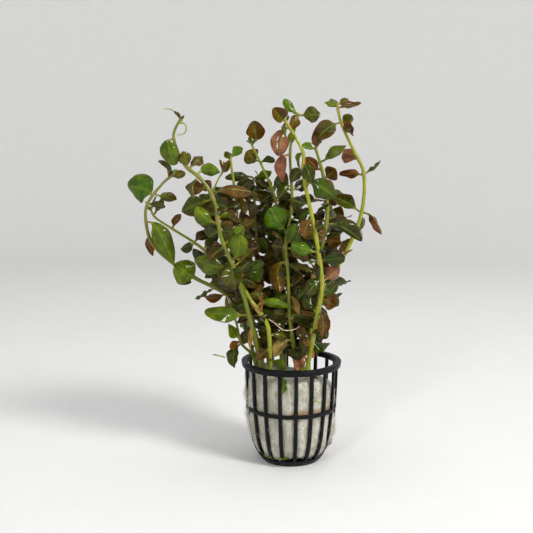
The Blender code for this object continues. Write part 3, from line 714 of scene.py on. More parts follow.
# %% Tints, above and below
TINTS = {
    "bright": ((0.074, 0.138, 0.0002), (0.115, 0.146, 0.001)),
    "deep": ((0.034, 0.064, 0.0003), (0.056, 0.068, 0.001)),
    "olive": ((0.080, 0.080, 0.0008), (0.106, 0.066, 0.002)),
    "russet": ((0.084, 0.046, 0.002), (0.115, 0.042, 0.004)),
    "pink": ((0.105, 0.070, 0.003), (0.310, 0.110, 0.058)),
    "straw": ((0.320, 0.170, 0.030), (0.350, 0.190, 0.048)),
    # The 'shade' tint is painted shade: a near-black green for leaves deep in the bunch, in the pot's mouth and
    # behind the stems
    "shade": ((0.017, 0.027, 0.0003), (0.026, 0.029, 0.0008)),
    "umber": ((0.048, 0.029, 0.001), (0.064, 0.029, 0.002)),
}
MARGIN_RED = {"bright": 0.10, "deep": 0.25, "olive": 0.65, "russet": 0.55, "pink": 0.4, "straw": 0.3,
              "shade": 0.3, "umber": 0.5}
print("tints:", ", ".join(TINTS))

# %% The leaves of each stem
# Height of the joint; reach to the right, back and up; width; roll in degrees; tint
LEAVES = {
    1: [
        (160, 0, -5, -12, 9, 10, "bright"), (147, -2, -4, 7, 7, 20, "olive"), (146, 6, 3, 6, 6, -30, "olive"),
        (143, 11, 4, 2, 6, 15, "bright"), (137, -10, 3, 1, 6, 180, "russet"), (142, -5, -3, -8, 4, 60, "olive"),
        (132, -16, 4, -5, 10, 15, "deep"), (121, -11, -5, 7, 8, 10, "bright"), (133, 20, 5, 3, 7, 150, "olive"),
        (123, 7, -2, 2, 4, 40, "bright"), (103, 5, -5, 12, 10, 0, "bright"), (111, 10, -3, 7, 7, 0, "bright"),
        (100, 11, -1, 9, 5, 50, "olive"), (100, -18, -3, 3, 10, -10, "bright"), (100, 2, -7, -10, 10, 0, "deep"),
        (76, -21, -4, 0, 7, 15, "bright"), (69, -1, -4, -10, 4, 30, "straw"),
    ],
    2: [
        (150, -2, -1, 4, 3, 10, "bright"), (151, 6, -1, 5, 5, 15, "bright"), (132, 4, -3, -8, 6, 20, "olive"),
        (134, -9, 4, -2, 6, 10, "deep"), (118, 8, -4, -6, 5, 60, "russet"), (80, 15, -3, -2, 7, 10, "bright"),
        (77, 1, -4, 9, 3, 60, "straw"), (123, -8, 3, -5, 5, 170, "russet"), (96, 11, -3, 5, 6, 20, "deep"),
    ],
    3: [
        (133, -14, 4, 4, 13, 0, "bright"), (142.5, -5, -2, 8, 4, 60, "deep"), (142, 7, -2, 2, 5, 20, "olive"),
        (129, 8, -2, -1, 5, 20, "deep"), (134, 10, 4, -4, 6, 10, "olive"), (120, 13, -4, -21, 8, 0, "bright"),
        (113, 1, 4, -10, 4, 170, "russet"), (92, -9, -5, 7, 9, 10, "bright"), (83, -9, -4, -1, 5, 160, "russet"),
        (86, -10, 3, -6, 4, 60, "deep"), (97, 5, 2, -8, 6, 10, "deep"),
    ],
    4: [
        (123, 4, 1, 9, 4, 40, "bright"), (116, 5, -2, 8, 5, 170, "russet"),
        (108, -8, 3, -3, 6, 20, "deep"), (105, 7, 3, 7, 6, 10, "deep"), (89, -11, 3, -4, 6, 20, "olive"),
    ],
    5: [
        (157.5, 1, 0, 11, 9, 0, "russet"), (149, -7, 4, 5, 8, 0, "olive"), (148, 7, -3, 2, 5, 30, "deep"),
        (131, -7, 3, -5, 6, 150, "russet"), (129, 8, 4, 3, 5, 20, "olive"), (110, -7, -3, 6, 7, 20, "deep"),
        (94, -7, -5, 7, 7, 170, "olive"),
    ],
    6: [
        (141, -13, -4, 1, 5, 20, "deep"), (140, 9, -6, 3, 6, 10, "bright"), (127, -8, -3, -8, 6, 30, "deep"),
        (126, 8, 3, -6, 6, 160, "russet"), (110, 6, -4, -6, 7, 20, "deep"), (109, -7, 3, -4, 6, 160, "russet"),
        (85, -2, -5, 11, 8, 170, "olive"), (84, 8, 3, -7, 6, 20, "deep"),
    ],
    7: [
        (168.5, -5, -2, 6, 7, 0, "olive"), (167, -2, -3, -4, 3, 20, "deep"), (165, -5, -5, -13, 8, 180, "pink"),
        (163, 0, -4, -5, 3, 10, "bright"), (153, -3, 4, -7, 4, 60, "bright"), (147, 3, -5, -8, 6, 10, "deep"),
        (145, -6, 3, -6, 6, 10, "deep"), (138, 13, -5, -6, 10, 0, "deep"), (122, -4, -4, -8, 6, 170, "russet"),
        (107, -12, -5, 3, 7, 10, "bright"), (102, 12, -4, 2, 5, 30, "deep"), (93, 9, 4, 6, 7, 170, "pink"),
        (84, 8, -4, -3, 8, 160, "russet"), (77, 3, -4, -11, 8, 170, "russet"), (78, -7, 4, 6, 6, 20, "deep"),
    ],
    8: [
        (171.5, -7, -1, 7, 6, 20, "bright"), (171, 10, -3, 1, 7, 10, "deep"), (170, -4, -3, -6, 6, 170, "olive"),
        (152, -5, -5, -13, 6, 180, "pink"), (137, -6, -4, -6, 6, 10, "deep"), (116, -8, -6, 10, 9, 0, "bright"),
        (110, 5, -5, 8, 7, 0, "bright"), (100, -5, -4, -14, 8, 170, "olive"), (83, 5, -5, -8, 4, 30, "straw"),
        (62, -9, -5, -9, 7, 150, "straw"), (82, -7, 4, 6, 6, 20, "deep"),
    ],
    9: [
        (148, 12, -4, 8, 7, 20, "bright"), (155, -7, -2, 2, 4, 30, "bright"), (145, -7, 3, 6, 6, 170, "russet"),
        (141, 6, -2, 5, 7, 170, "russet"), (139, 5, 3, -4, 4, 170, "russet"), (122, 12, 3, -2, 2, 75, "russet"),
        (119, 18, -5, -7, 9, 10, "deep"), (111, 9, -3, -1, 6, 180, "russet"), (101, 17, -3, 5, 3, 70, "pink"),
        (95, -9, -4, 6, 4, 60, "olive"), (88, -7, -4, -5, 6, 20, "deep"), (66, 2, -5, -11, 6, 170, "olive"),
        (57, -3, -6, -10, 6, 160, "pink"), (155, 0, 2, 6, 4, 160, "russet"),
    ],
    10: [
        (176, -6, -1, 1, 3, 20, "bright"), (175, -3, 3, 5, 4, 10, "olive"), (176, 6, 1, 3, 4, 10, "olive"),
        (174, 11, -2, 2, 6, 150, "russet"), (167, 5, -3, 4, 6, 10, "olive"), (168, -12, -5, -10, 8, 10, "olive"),
        (163, 2, -8, 2, 8, 0, "russet"), (150, -6, 4, 5, 7, 180, "pink"), (143, 9, -2, 5, 4, 50, "deep"),
        (142, -12, 3, 1, 5, 150, "russet"), (124, 10, -2, -11, 5, 150, "russet"), (124, -13, 4, 8, 8, 20, "deep"),
        (110, -5, 5, -7, 6, 170, "russet"), (88, 11, -4, 2, 4, 50, "deep"), (86, -8, 4, 5, 6, 20, "deep"),
    ],
    11: [
        (63, -5, -2, 7, 6, 20, "bright"), (61, -4, -2, -3, 4, 170, "russet"), (71, -4, 2, 11, 6, 20, "olive"),
        (60, -4, -4, -12, 6, 20, "deep"),
    ],
    12: [
        (144, 3, -1, 6, 5, 160, "russet"), (135, 6, 3, -6, 6, 20, "deep"),
        (114, -6, 4, 3, 6, 20, "deep"), (103, 9, 4, -3, 6, 20, "olive"),
    ],
}

# Pairs of leaves on the two stems at the back, each pair a quarter turn from the one below
BACK_STEMS = (13, 14)
PAIR_HEIGHTS = (78, 96, 112, 127)
PAIR_REACH = (10, 4)
PAIR_WIDTH = 6
PAIR_TINTS = ("deep", "olive", "russet", "bright")

# Leaves behind the listed ones, on the stems of the dense middle, to alternate sides
INNER_STEMS = {2: 1, 5: -1, 6: 1, 7: 1, 8: -1, 9: 1, 10: -1}
INNER_FIRST = 82
INNER_STEP = 24
INNER_COUNT = 2
INNER_REACH = (7, 7, 4)
INNER_WIDTH = 6
INNER_TINTS = ("olive", "deep", "russet", "deep")
print("listed leaves:", sum(len(rows) for rows in LEAVES.values()))

# %% A leaf and its plain outline
LEAF_THICKNESS = 0.7 * MM
CLEARANCE = 0.45 * MM
PETIOLE_SHARE = 0.22
PETIOLE_HALF = 0.5 * MM
OUTLINE_LEAN = 1.1
OUTLINE_BLUNTNESS = 0.65
DOME = -0.22
SPREAD = 1.15
LEAF_NODES = 44


class Leaf:
    """A leaf by its node on a stem, its reach to the tip, its width, its roll and its tint."""

    def __init__(self, stem_number, number, height, reach, width, roll, tint, hint):
        self.stem_number = stem_number
        self.number = number
        self.height = height
        self.reach = Vector(reach) * MM
        self.width = width * MM
        self.roll = roll
        self.tint = tint
        self.hint = hint
        self.apart = False
        # A factor on the leaf's colours for painted shade: below 1 it darkens a leaf that lies deep in the bunch
        self.shaded = 1.0

    def area(self):
        return self.reach.length * self.width

    def name(self):
        return f"leaf_{self.stem_number:02d}_{self.number:02d}"

    def changed(self, size, roll, depth):
        """The same leaf made smaller, turned or moved in depth."""
        reach = (self.reach + Vector((0.0, depth * MM, 0.0))) / MM
        made = Leaf(self.stem_number, self.number, self.height, reach * size, self.width * size / MM,
                    self.roll + roll, self.tint, self.hint)
        made.apart, made.shaded = self.apart, self.shaded
        return made


def half_width(share, width):
    """Half the leaf's width at a share of its length: a narrow stalk, then an obovate blade."""
    if share <= PETIOLE_SHARE:
        return PETIOLE_HALF
    blade = (share - PETIOLE_SHARE) / (1.0 - PETIOLE_SHARE)
    swell = max(0.0, math.sin(math.pi * blade**OUTLINE_LEAN)) ** OUTLINE_BLUNTNESS
    return max(PETIOLE_HALF, SPREAD * width / 2 * swell)


def spine_through(root, knee, tip, hint, roll):
    """A function of the share of the leaf's length: the place there, the blade's normal and its side."""
    turn = math.radians(roll)

    def at(share):
        place = (1 - share) ** 2 * root + 2 * share * (1 - share) * knee + share**2 * tip
        way = ((1 - share) * (knee - root) + share * (tip - knee)).normalized()
        level = hint - way * hint.dot(way)
        if level.length < 0.2:
            level = UP - way * UP.dot(way)
        level.normalize()
        normal = math.cos(turn) * level + math.sin(turn) * way.cross(level)
        return place, normal, way.cross(normal)

    return at


def leaf_spine(leaf):
    """The leaf's spine, the way that it leaves its stem and the stem's radius there."""
    centre, along, radius, _ = stem_at(leaf.stem_number, leaf.height)
    across = leaf.reach - along * leaf.reach.dot(along)
    out = across.normalized() if across.length > 0.5 * MM else FRONT
    root = centre + out * (radius + CLEARANCE if leaf.apart else radius * 0.35)
    tip = centre + leaf.reach
    knee = root + (0.30 * out + 0.10 * along) * (tip - root).length
    return spine_through(root, knee, tip, leaf.hint, leaf.roll), out, radius


print("petiole share:", PETIOLE_SHARE)

# %% Search trees of leaves and stems
def tube_tree(radius, route, sides=8):
    """A search tree of a stem, a little thicker than the stem itself."""
    points = route_points(route)
    shares = shares_along(points)
    places = []
    for i, centre in enumerate(points):
        way = (points[min(i + 1, len(points) - 1)] - points[max(i - 1, 0)]).normalized()
        across = way.orthogonal().normalized()
        if i and across.dot(last) < 0.5:
            across = (last - way * way.dot(last)).normalized()
        last = across
        beside = way.cross(across)
        wide = stem_radius(radius, shares[i]) * 1.12
        for k in range(sides):
            turn = TAU * k / sides
            places.append(centre + wide * (math.cos(turn) * across + math.sin(turn) * beside))
    faces = []
    for i in range(len(points) - 1):
        for k in range(sides):
            j = (k + 1) % sides
            faces.append((i * sides + k, i * sides + j, (i + 1) * sides + j, (i + 1) * sides + k))
    return BVHTree.FromPolygons(places, faces)


def shell_tree(leaf, half):
    """A search tree of the leaf as a closed shell of a given half thickness."""
    rows = [i / 8 for i in range(8)] + [0.97]
    columns = 5
    at, _, _ = leaf_spine(leaf)
    points, normals = [], []
    for share in rows:
        place, normal, side = at(share)
        wide = half_width(share, leaf.width)
        for k in range(columns):
            v = 2 * k / (columns - 1) - 1
            points.append(place + side * wide * v + normal * DOME * wide * v * v)
            normals.append(normal)
    count = len(points)
    places = [p + n * half for p, n in zip(points, normals)] + [p - n * half for p, n in zip(points, normals)]
    faces = []
    for i in range(len(rows) - 1):
        for k in range(columns - 1):
            a = i * columns + k
            faces.append((a, a + 1, a + columns + 1, a + columns))
    border = list(range(columns))
    border += [i * columns + columns - 1 for i in range(1, len(rows))]
    border += [(len(rows) - 1) * columns + k for k in range(columns - 2, -1, -1)]
    border += [i * columns for i in range(len(rows) - 2, 0, -1)]
    both = faces + [tuple(count + i for i in reversed(face)) for face in faces]
    for a, b in zip(border, border[1:] + border[:1]):
        both.append((a, b, count + b, count + a))
    return BVHTree.FromPolygons(places, both), points


print("search trees ready")

# %% Find each leaf its room
SIZES_TRIED = (1.0, 0.85, 0.7)
ROLLS_TRIED = (0, 25, -25)
DEPTHS_TRIED = (0, -2, 2, -4, 4, -6, 6, -8, 8)
stem_trees = [tube_tree(radius, route) for radius, route in STEMS]
leaf_trees = []


def clear_of_pot(points):
    for p in points:
        radius = math.hypot(p.x, p.y)
        above = p.z > POT_HEIGHT + 1.2 * MM
        outside = radius > RIM_RADIUS + 1.2 * MM
        within = radius < 20.6 * MM and p.z > wool_top(p.x, p.y) + 1.2 * MM
        if not (above or outside or within):
            return False
    return True


def settled(leaf, sizes=SIZES_TRIED, clearance=CLEARANCE):
    """The leaf as listed or with the least change that frees it, or None where there is no room."""
    for size in sizes:
        for roll in ROLLS_TRIED:
            for depth in DEPTHS_TRIED:
                tried = leaf.changed(size, roll, depth)
                tree, points = shell_tree(tried, LEAF_THICKNESS / 2 + clearance)
                if not clear_of_pot(points):
                    continue
                others = [t for i, t in enumerate(stem_trees) if leaf.apart or i != leaf.stem_number - 1]
                if any(tree.overlap(other) for other in others + leaf_trees):
                    continue
                leaf_trees.append(shell_tree(tried, LEAF_THICKNESS / 2)[0])
                return tried
    return None


def listed_leaves():
    leaves = []
    for number, rows in LEAVES.items():
        for i, (height, right, back, up, width, roll, tint) in enumerate(rows):
            leaves.append(Leaf(number, i + 1, height, (right, back, up), width, roll, tint, FRONT))
    for number in BACK_STEMS:
        for level, height in enumerate(PAIR_HEIGHTS):
            for side in range(2):
                angle = math.pi * (side + level / 2 + number / 4)
                out, up = PAIR_REACH
                reach = (out * math.cos(angle), out * math.sin(angle), up)
                tint = PAIR_TINTS[(level + number) % len(PAIR_TINTS)]
                place = 2 * level + side + 1
                leaves.append(Leaf(number, place, height, reach, PAIR_WIDTH, 0, tint, UP))
    for number, first_side in INNER_STEMS.items():
        for level in range(INNER_COUNT):
            right, back, up = INNER_REACH
            height = INNER_FIRST + INNER_STEP * level + number
            reach = (right * first_side * (-1) ** level, back, up)
            place = len(LEAVES[number]) + level + 1
            tint = INNER_TINTS[(level + number) % len(INNER_TINTS)]
            leaves.append(Leaf(number, place, height, reach, INNER_WIDTH, 30, tint, FRONT))
    leaves.sort(key=lambda one: (-one.area(), one.name()))
    for leaf in leaves[:LEAF_NODES]:
        leaf.apart = True
    return leaves


placed = [found for found in map(settled, listed_leaves()) if found]
print("leaves with room:", len(placed))

# %% [markdown]
# ### The skin of stems and leaves
#
# A stem is bright yellow-green with fine lengthwise streaks, tan to pinkish at its joints. A blade
# carries its own colours as an attribute, because its upper face, underside, stalk and margin
# differ. The finish adds what is too fine for that: the pale midrib and side veins, the mottling,
# the brown margin, small blemishes, and the film of water that makes the plant shine.

# %% Stem skin
bark = Finish("stem_skin")
joint = bark.attribute("joint")
tone = bark.attribute("tone")
lines = bark.clouds(bark.stretched((1.0, 1.0, 0.12)), 1900.0, 3.0)
spots = bark.clouds(bark.place(), 420.0, 4.0, 0.65)
fresh = bark.mix(bark.band(lines, 0.35, 0.65), (0.185, 0.215, 0.003), (0.320, 0.345, 0.010))
aged = bark.mix(bark.band(tone, 0.0, 1.0), fresh, (0.125, 0.152, 0.002))
tanned = bark.mix(bark.band(spots, 0.56, 0.72) * 0.45, aged, (0.340, 0.230, 0.070))
bark.set(
    Base_Color=bark.mix(bark.band(joint, 0.25, 1.0) * 0.75, tanned, (0.400, 0.200, 0.090)),
    Roughness=0.22 + spots * 0.25,
    Coat_Weight=0.35,
    Coat_Roughness=0.08,
    Specular_IOR_Level=0.3,
    Subsurface_Weight=0.15,
    Subsurface_Scale=0.0015,
)
bark.relief(lines * 0.6 + spots * 0.4, 0.00012, 0.8)
print("finish:", bark.material.name)

# %% Leaf skin
VEINS = 8.0


def leaf_finish(name, vein_top, roughness):
    """A wet blade: the blade's own colours with veins, mottling, a brown margin and blemishes."""
    leaf = Finish(name)
    chart = leaf.node("ShaderNodeTexCoord", out="UV")
    u = leaf.node("ShaderNodeSeparateXYZ", None, {0: chart}, "X")
    v = leaf.node("ShaderNodeSeparateXYZ", None, {0: chart}, "Y")
    beside = abs(u - 0.5) * 2
    waver = leaf.clouds(leaf.place(), 500.0, 2.0)
    run = (v - 0.20 * beside + 0.05 * waver) * VEINS
    vein = 1 - leaf.band(abs(run % 1.0 - 0.5), 0.03, 0.15)
    blade = leaf.band(v, 0.24, 0.34) * (1 - leaf.band(v, 0.86, 0.96))
    veins = vein * blade * (1 - beside) ** 0.5
    rib = 1 - leaf.band(beside, 0.05, 0.16)
    lines = leaf.node("ShaderNodeMath", {"operation": "MAXIMUM"}, {0: veins * 0.55, 1: rib})
    own = leaf.attribute("leaf_colour", "Color")
    red = leaf.attribute("red_margin")
    mottle = leaf.clouds(leaf.place(), 260.0, 4.0, 0.6)
    fine = leaf.clouds(leaf.place(), 1500.0, 3.0, 0.7)
    light = 0.50 + leaf.band(mottle, 0.3, 0.7) * 0.85
    shade = leaf.node("ShaderNodeVectorMath", {"operation": "SCALE"}, {0: own, "Scale": light})
    veined = leaf.mix(lines * 0.30, shade, vein_top)
    edge = leaf.band(beside + 0.25 * (mottle - 0.5), 0.72, 0.98) * leaf.band(v, 0.2, 0.4)
    browned = leaf.mix(edge * red, veined, (0.085, 0.024, 0.012))
    blotch = leaf.band(leaf.clouds(leaf.place(), 190.0, 5.0, 0.7), 0.62, 0.74)
    leaf.set(
        Base_Color=leaf.mix(blotch * 0.55, browned, (0.060, 0.038, 0.014)),
        Roughness=roughness + fine * 0.22,
        Coat_Weight=0.36,
        Coat_Roughness=0.06,
        Specular_IOR_Level=0.05,
        Subsurface_Weight=0.12,
        Subsurface_Scale=0.001,
    )
    leaf.relief(lines * 0.55 + mottle * 0.35 + fine * 0.1, 0.00045, 0.85)
    return leaf.material


wet_leaf = leaf_finish("wet_leaf", (0.200, 0.240, 0.020), 0.28)
print("finish:", wet_leaf.name)

# %% [markdown]
# ### One stem as a smooth tube
#
# The tube tree from above runs along the smooth line. Its radius swells at each joint, and the same
# numbers tell the finish where the joints are.

# %% Run the stems
JOINT_REACH = 1.3 * MM
STEM_PARTS = 6


def smooth_stem(number):
    """Places, radii and joint marks along a stem."""
    radius, route = STEMS[number - 1]
    points = route_points(route)
    shares = shares_along(points)
    joints = [leaf.height * MM for leaf in placed if leaf.stem_number == number]
    places, radii, marks = [], [], []
    for i in range(len(points) - 1):
        for k in range(STEM_PARTS + (i == len(points) - 2)):
            t = k / STEM_PARTS
            place = bent(points, i, t)
            share = shares[i] + t * (shares[i + 1] - shares[i])
            near = max([hump(place.z, joint, JOINT_REACH) for joint in joints] + [0.0])
            places.append(place)
            radii.append(stem_radius(radius, share) * (0.94 + 0.22 * near))
            marks.append(near * (0.35 + 0.65 * (noise.noise(place * 90) * 0.5 + 0.5)))
    return places, radii, marks


def stem_tube(number):
    places, radii, marks = smooth_stem(number)
    tone = [0.5 + 0.5 * math.sin(number * 2.4)] * len(places)
    extra = {"joint": marks, "tone": tone}
    return tube_along(f"stem_{number:02d}_shoot", places, radii, bark.material, 12, extra)


print("points along stem 1:", len(smooth_stem(1)[0]))

# %% [markdown]
# ### One blade
#
# A blade is one closed skin lofted from its stalk to its tip: in each ring the upper face and the
# underside share their margins. The stalk's rings are nearly round, and they flatten as the blade
# widens. The blade is bent along its spine, and then made alive: it folds a little about the midrib,
# cups or arches, waves along the margin and curls at the tip, each leaf in its own way.

# %% Loft one blade
ACROSS = (-1.0, -0.86, -0.64, -0.40, -0.20, -0.07, 0.0, 0.07, 0.20, 0.40, 0.64, 0.86, 1.0)
BLADE_ROWS = 26
TAN = (0.300, 0.260, 0.035)
OLD = (0.095, 0.030, 0.008)
# What is seen of single leaves in the picture, where it differs from the habit that chance gives
OWN_HABITS = {
    "leaf_03_01": {"blade_from": 0.0, "cups": (-0.5, 0.1), "light": 0.66, "tip": 0.5, "lean": 1.0,
                   "sickle": 0.0, "uneven": 0.0, "ragged": 0.0},
    "leaf_07_03": {"light": 0.52, "cups": (-0.5, 0.1)},
    "leaf_08_04": {"light": 0.70},
    "leaf_01_16": {"light": 0.75, "tip": 0.45},
    "leaf_05_01": {"light": 0.9, "tip": 0.5, "age": 0.2},
    "leaf_01_01": {"cups": (-0.9, 0.2), "fold": 0.1, "light": 0.8, "tip": 0.42},
    "leaf_03_06": {"cups": (-0.8, 0.2), "wider": 1.1, "light": 0.85},
    "leaf_03_08": {"wider": 1.35, "cups": (-0.6, 0.1), "tip": 0.45},
    "leaf_01_09": {"light": 0.45, "tip": 0.6},
    "leaf_01_11": {"light": 0.85, "tip": 0.45},
    "leaf_08_06": {"wider": 1.35, "cups": (-0.7, 0.2), "light": 0.9, "tip": 0.45},
    "leaf_08_07": {"wider": 1.25, "cups": (-0.7, 0.1), "light": 0.75, "tip": 0.5},
    "leaf_07_11": {"wider": 1.4, "light": 0.7, "tip": 0.45},
    # Painted light: the next leaf's colours are brightened well above the rest, because it sits in shadow
    "leaf_09_13": {"wider": 1.35, "cups": (-0.7, 0.2), "light": 1.7, "age": 0.0, "tip": 0.45},
}


def soft_step(value, low, high):
    t = min(1.0, max(0.0, (value - low) / (high - low)))
    return t * t * (3 - 2 * t)


# How strongly each habit bends a blade across, and how much of it is aged, by tint
SHAPES = {"arched": (-1.5, -0.7), "cupped": (0.3, 1.1), "rolled": (-1.5, -0.8), "flat": (-0.4, 0.1)}
AGEING = {"bright": 0.15, "deep": 0.45, "olive": 0.9, "russet": 0.5, "pink": 0.3, "straw": 0.4,
          "shade": 0.5, "umber": 0.3}


class Habit:
    """How one leaf differs from the plain blade, drawn from a seed."""

    def __init__(self, seed, length, tint):
        draw = random.Random(seed)
        shape = draw.choice(("arched", "arched", "cupped", "rolled", "flat"))
        lean = 1.0 if shape == "rolled" else 0.35
        self.cups = draw.uniform(*SHAPES[shape]), draw.uniform(-lean, lean)
        self.fold = draw.uniform(0.0, 0.26) + (0.35 if shape == "cupped" else 0.0)
        self.wave = draw.uniform(0.15, 0.80) * MM * min(1.0, length / (14 * MM))
        self.waves = draw.uniform(1.5, 3.5)
        self.start = draw.uniform(0, TAU)
        self.lag = draw.uniform(0.6, 2.4)
        self.curl = draw.uniform(-0.15, 0.36) * length
        self.sickle = draw.uniform(-0.14, 0.14) * length
        self.uneven = draw.uniform(-0.14, 0.14)
        self.ragged = draw.uniform(0.03, 0.12)
        self.twist = draw.uniform(-0.45, 0.45)
        self.lean = draw.uniform(1.12, 1.42)
        self.tip = draw.uniform(0.42, 0.80)
        self.light = draw.uniform(0.64, 1.22)
        self.warm = draw.uniform(-0.20, 0.24)
        self.age = draw.uniform(0.1, 1.0) * AGEING[tint]
        self.red = draw.uniform(0.6, 1.3)
        self.stalk = draw.uniform(0.88, 1.15)
        self.blade_from = PETIOLE_SHARE - 0.06
        self.wider = 1.0
        self.offset = Vector((draw.uniform(0, 9), draw.uniform(0, 9), draw.uniform(0, 9)))


def blade_width(share, width, habit):
    """Half the width of the living leaf: a wedge out of the stalk, widest past the middle, a closed tip."""
    blade = min(1.0, max(0.0, (share - habit.blade_from) / (1.0 - habit.blade_from)))
    swell = max(0.0, math.sin(math.pi * blade**habit.lean))
    wide = SPREAD * habit.wider * width / 2 * swell ** (0.95 + (habit.tip - 0.95) * blade)
    stalk = PETIOLE_HALF * habit.stalk * (1 - 0.9 * soft_step(share, 0.25, 0.9))
    return (wide**3 + stalk**3) ** (1 / 3)


def lofted_blade(leaf, seed, spine=None):
    """Points, faces, chart, colours and margin tint of one leaf, on its stem or on a spine of its own."""
    at, out, radius = leaf_spine(leaf)
    centre, _, _, smooth = stem_at(leaf.stem_number, leaf.height)
    if spine:
        at, smooth = spine, centre
    habit = Habit(seed, leaf.reach.length, leaf.tint)
    for label, value in OWN_HABITS.get(leaf.name(), {}).items():
        setattr(habit, label, value)
    # Painted shade: the colours are darkened by the leaf's factor where it lies deep in the bunch
    habit.light *= leaf.shaded
    shift = smooth - centre
    upper, under = (Vector(tint) for tint in TINTS[leaf.tint])
    warm = Vector((1 + habit.warm, 1 - 0.4 * habit.warm, 1.0))
    upper = Vector(a * b for a, b in zip(upper, warm)) * habit.light
    under = Vector(a * b for a, b in zip(under, warm)) * (0.5 + 0.5 * habit.light)
    count = BLADE_ROWS if leaf.reach.length > 9 * MM else BLADE_ROWS - 8
    rows = [math.sin(math.pi / 2 * i / count) for i in range(count)]
    if leaf.apart:
        rows.insert(0, -(CLEARANCE + 0.6 * radius) / leaf.reach.length)
    points, colours, chart = [], [], []
    top, low = range(len(ACROSS)), range(len(ACROSS) - 2, 0, -1)

    def ring_point(share, v, side_of):
        place, normal, side = at(max(share, 0.0))
        if share < 0:
            place = place + out * share * leaf.reach.length
        place = place + shift * (1 - max(share, 0.0)) ** 2
        wide = blade_width(max(share, 0.0), leaf.width, habit)
        flat = soft_step(share, habit.blade_from - 0.02, habit.blade_from + 0.20)
        ragged = noise.noise(habit.offset + UP * share * 5.0 + FRONT * (4.0 if v > 0 else 0.0))
        wide *= 1 + flat * (habit.uneven * (1 if v > 0 else -1) + 2.0 * habit.ragged * ragged) * abs(v)
        bend = habit.cups[0] + habit.cups[1] * (1 if v > 0 else -1)
        bend = bend if abs(bend) > 0.05 else 0.05
        across = wide * math.sin(abs(v) * bend) / bend * (1 if v > 0 else -1)
        rise = wide * (1 - math.cos(v * bend)) / bend + habit.fold * wide * abs(v)
        rise += habit.wave * math.sin(habit.start + TAU * habit.waves * share + habit.lag * (v > 0)) * v * v
        rise -= habit.curl * max(0.0, share - 0.55) ** 2 * 4
        rise += habit.twist * wide * v * soft_step(share, 0.3, 1.0)
        swept_by = habit.sickle * max(0.0, share - habit.blade_from) ** 2
        place = place + side * (wide * v * (1 - flat) + across * flat + swept_by) + normal * rise * flat
        place = place + normal * 0.5 * MM * noise.noise(place * 160 + habit.offset) * flat
        round_half = 0.44 * MM * habit.stalk * math.sqrt(max(0.0, 1 - v * v))
        thin = (0.06 + 0.12 * (1 - v * v)) * MM
        ridge = 0.28 * MM * math.exp(-((v * wide / (0.42 * MM)) ** 2)) * (1 - 0.8 * share)
        half = (1 - flat) * round_half + flat * (thin - 0.5 * ridge if side_of > 0 else thin + ridge)
        return place + normal * side_of * half

    for share in rows:
        green = 1 - soft_step(share, habit.blade_from - 0.04, habit.blade_from + 0.20)
        for side_of, columns, own in ((1, top, upper), (-1, low, under)):
            for k in columns:
                v = ACROSS[k]
                points.append(ring_point(share, v, side_of if abs(v) < 1 else 0))
                chart.append((0.5 + 0.5 * v, max(share, 0.0)))
                colour = own.lerp((upper + under) / 2, v**8)
                old = habit.age * soft_step(share + 0.35 * abs(v), 0.55, 1.3)
                colour = colour.lerp(Vector(OLD), old)
                colours.append(colour.lerp(Vector(TAN) * habit.light, 0.75 * green))
    count = len(top) + len(low)
    points.append(ring_point(1.0, 0.0, 0))
    points.append(sum((p for p in points[:count]), Vector()) / count)
    chart += [(0.5, 1.0), (0.5, 0.0)]
    colours += [(upper + under) / 2, Vector(TAN)]
    faces = []
    for i in range(len(rows) - 1):
        for k in range(count):
            j = (k + 1) % count
            faces.append((i * count + k, i * count + j, (i + 1) * count + j, (i + 1) * count + k))
    last = (len(rows) - 1) * count
    faces += [(last + k, last + (k + 1) % count, len(points) - 2) for k in range(count)]
    faces += [((k + 1) % count, k, len(points) - 1) for k in range(count)]
    red = min(1.0, MARGIN_RED[leaf.tint] * habit.red)
    return points, faces, chart, colours, red


print("points round one ring of a blade:", 2 * len(ACROSS) - 2)

# %% One leaf as an object
def leaf_object(name, leaf, seed, spine=None):
    points, faces, chart, colours, red = lofted_blade(leaf, seed, spine)
    mesh = mesh_of(name, points, faces)
    mesh.materials.append(wet_leaf)
    uv = mesh.uv_layers.new(name="chart")
    uv.data.foreach_set("uv", [n for loop in mesh.loops for n in chart[loop.vertex_index]])
    tints = mesh.attributes.new("leaf_colour", "FLOAT_COLOR", "POINT")
    tints.data.foreach_set("color", [n for colour in colours for n in (*colour, 1.0)])
    mesh.attributes.new("red_margin", "FLOAT", "POINT").data.foreach_set("value", [red] * len(points))
    return object_of(name, mesh)


def seed_of(leaf):
    return 100 * leaf.stem_number + leaf.number


small_leaves = {number: [] for number in range(1, len(STEMS) + 1)}
for leaf in placed:
    if leaf.apart:
        blade = leaf_object(f"{leaf.name()}_blade", leaf, seed_of(leaf))
        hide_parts(leaf.name())
        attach(blade, "root")
    else:
        small_leaves[leaf.stem_number].append(leaf_object(f"small_{leaf.name()}", leaf, seed_of(leaf)))
print("blades on their own:", sum(leaf.apart for leaf in placed))

# %% [markdown]
# ### More young leaves
#
# A real bunch is denser than the plain solids: young leaves fill the middle, wider ones behind the
# stems close the view through it, a few hang in the mouth of the pot, and every tip ends in a tuft
# of leaves that are still unfolding. They find their room in the same way as the larger ones, in
# this order: mouth, tips, back, middle. Those of the back and the middle carry painted shade: their
# colours are darkened for the shade deep in the bunch.

# %% Fill the middle and the tips
FILL_CLEARANCE = 0.12 * MM
# Numbers at which each kind of young leaf starts on its stem, which also seed its habit
FIRST_MOUTH, FIRST_FILL, FIRST_TUFT, FIRST_SCREEN = 30, 40, 90, 100
FILL_FOOT, FILL_STEP, FILL_LEVELS = 53, 3.7, 24
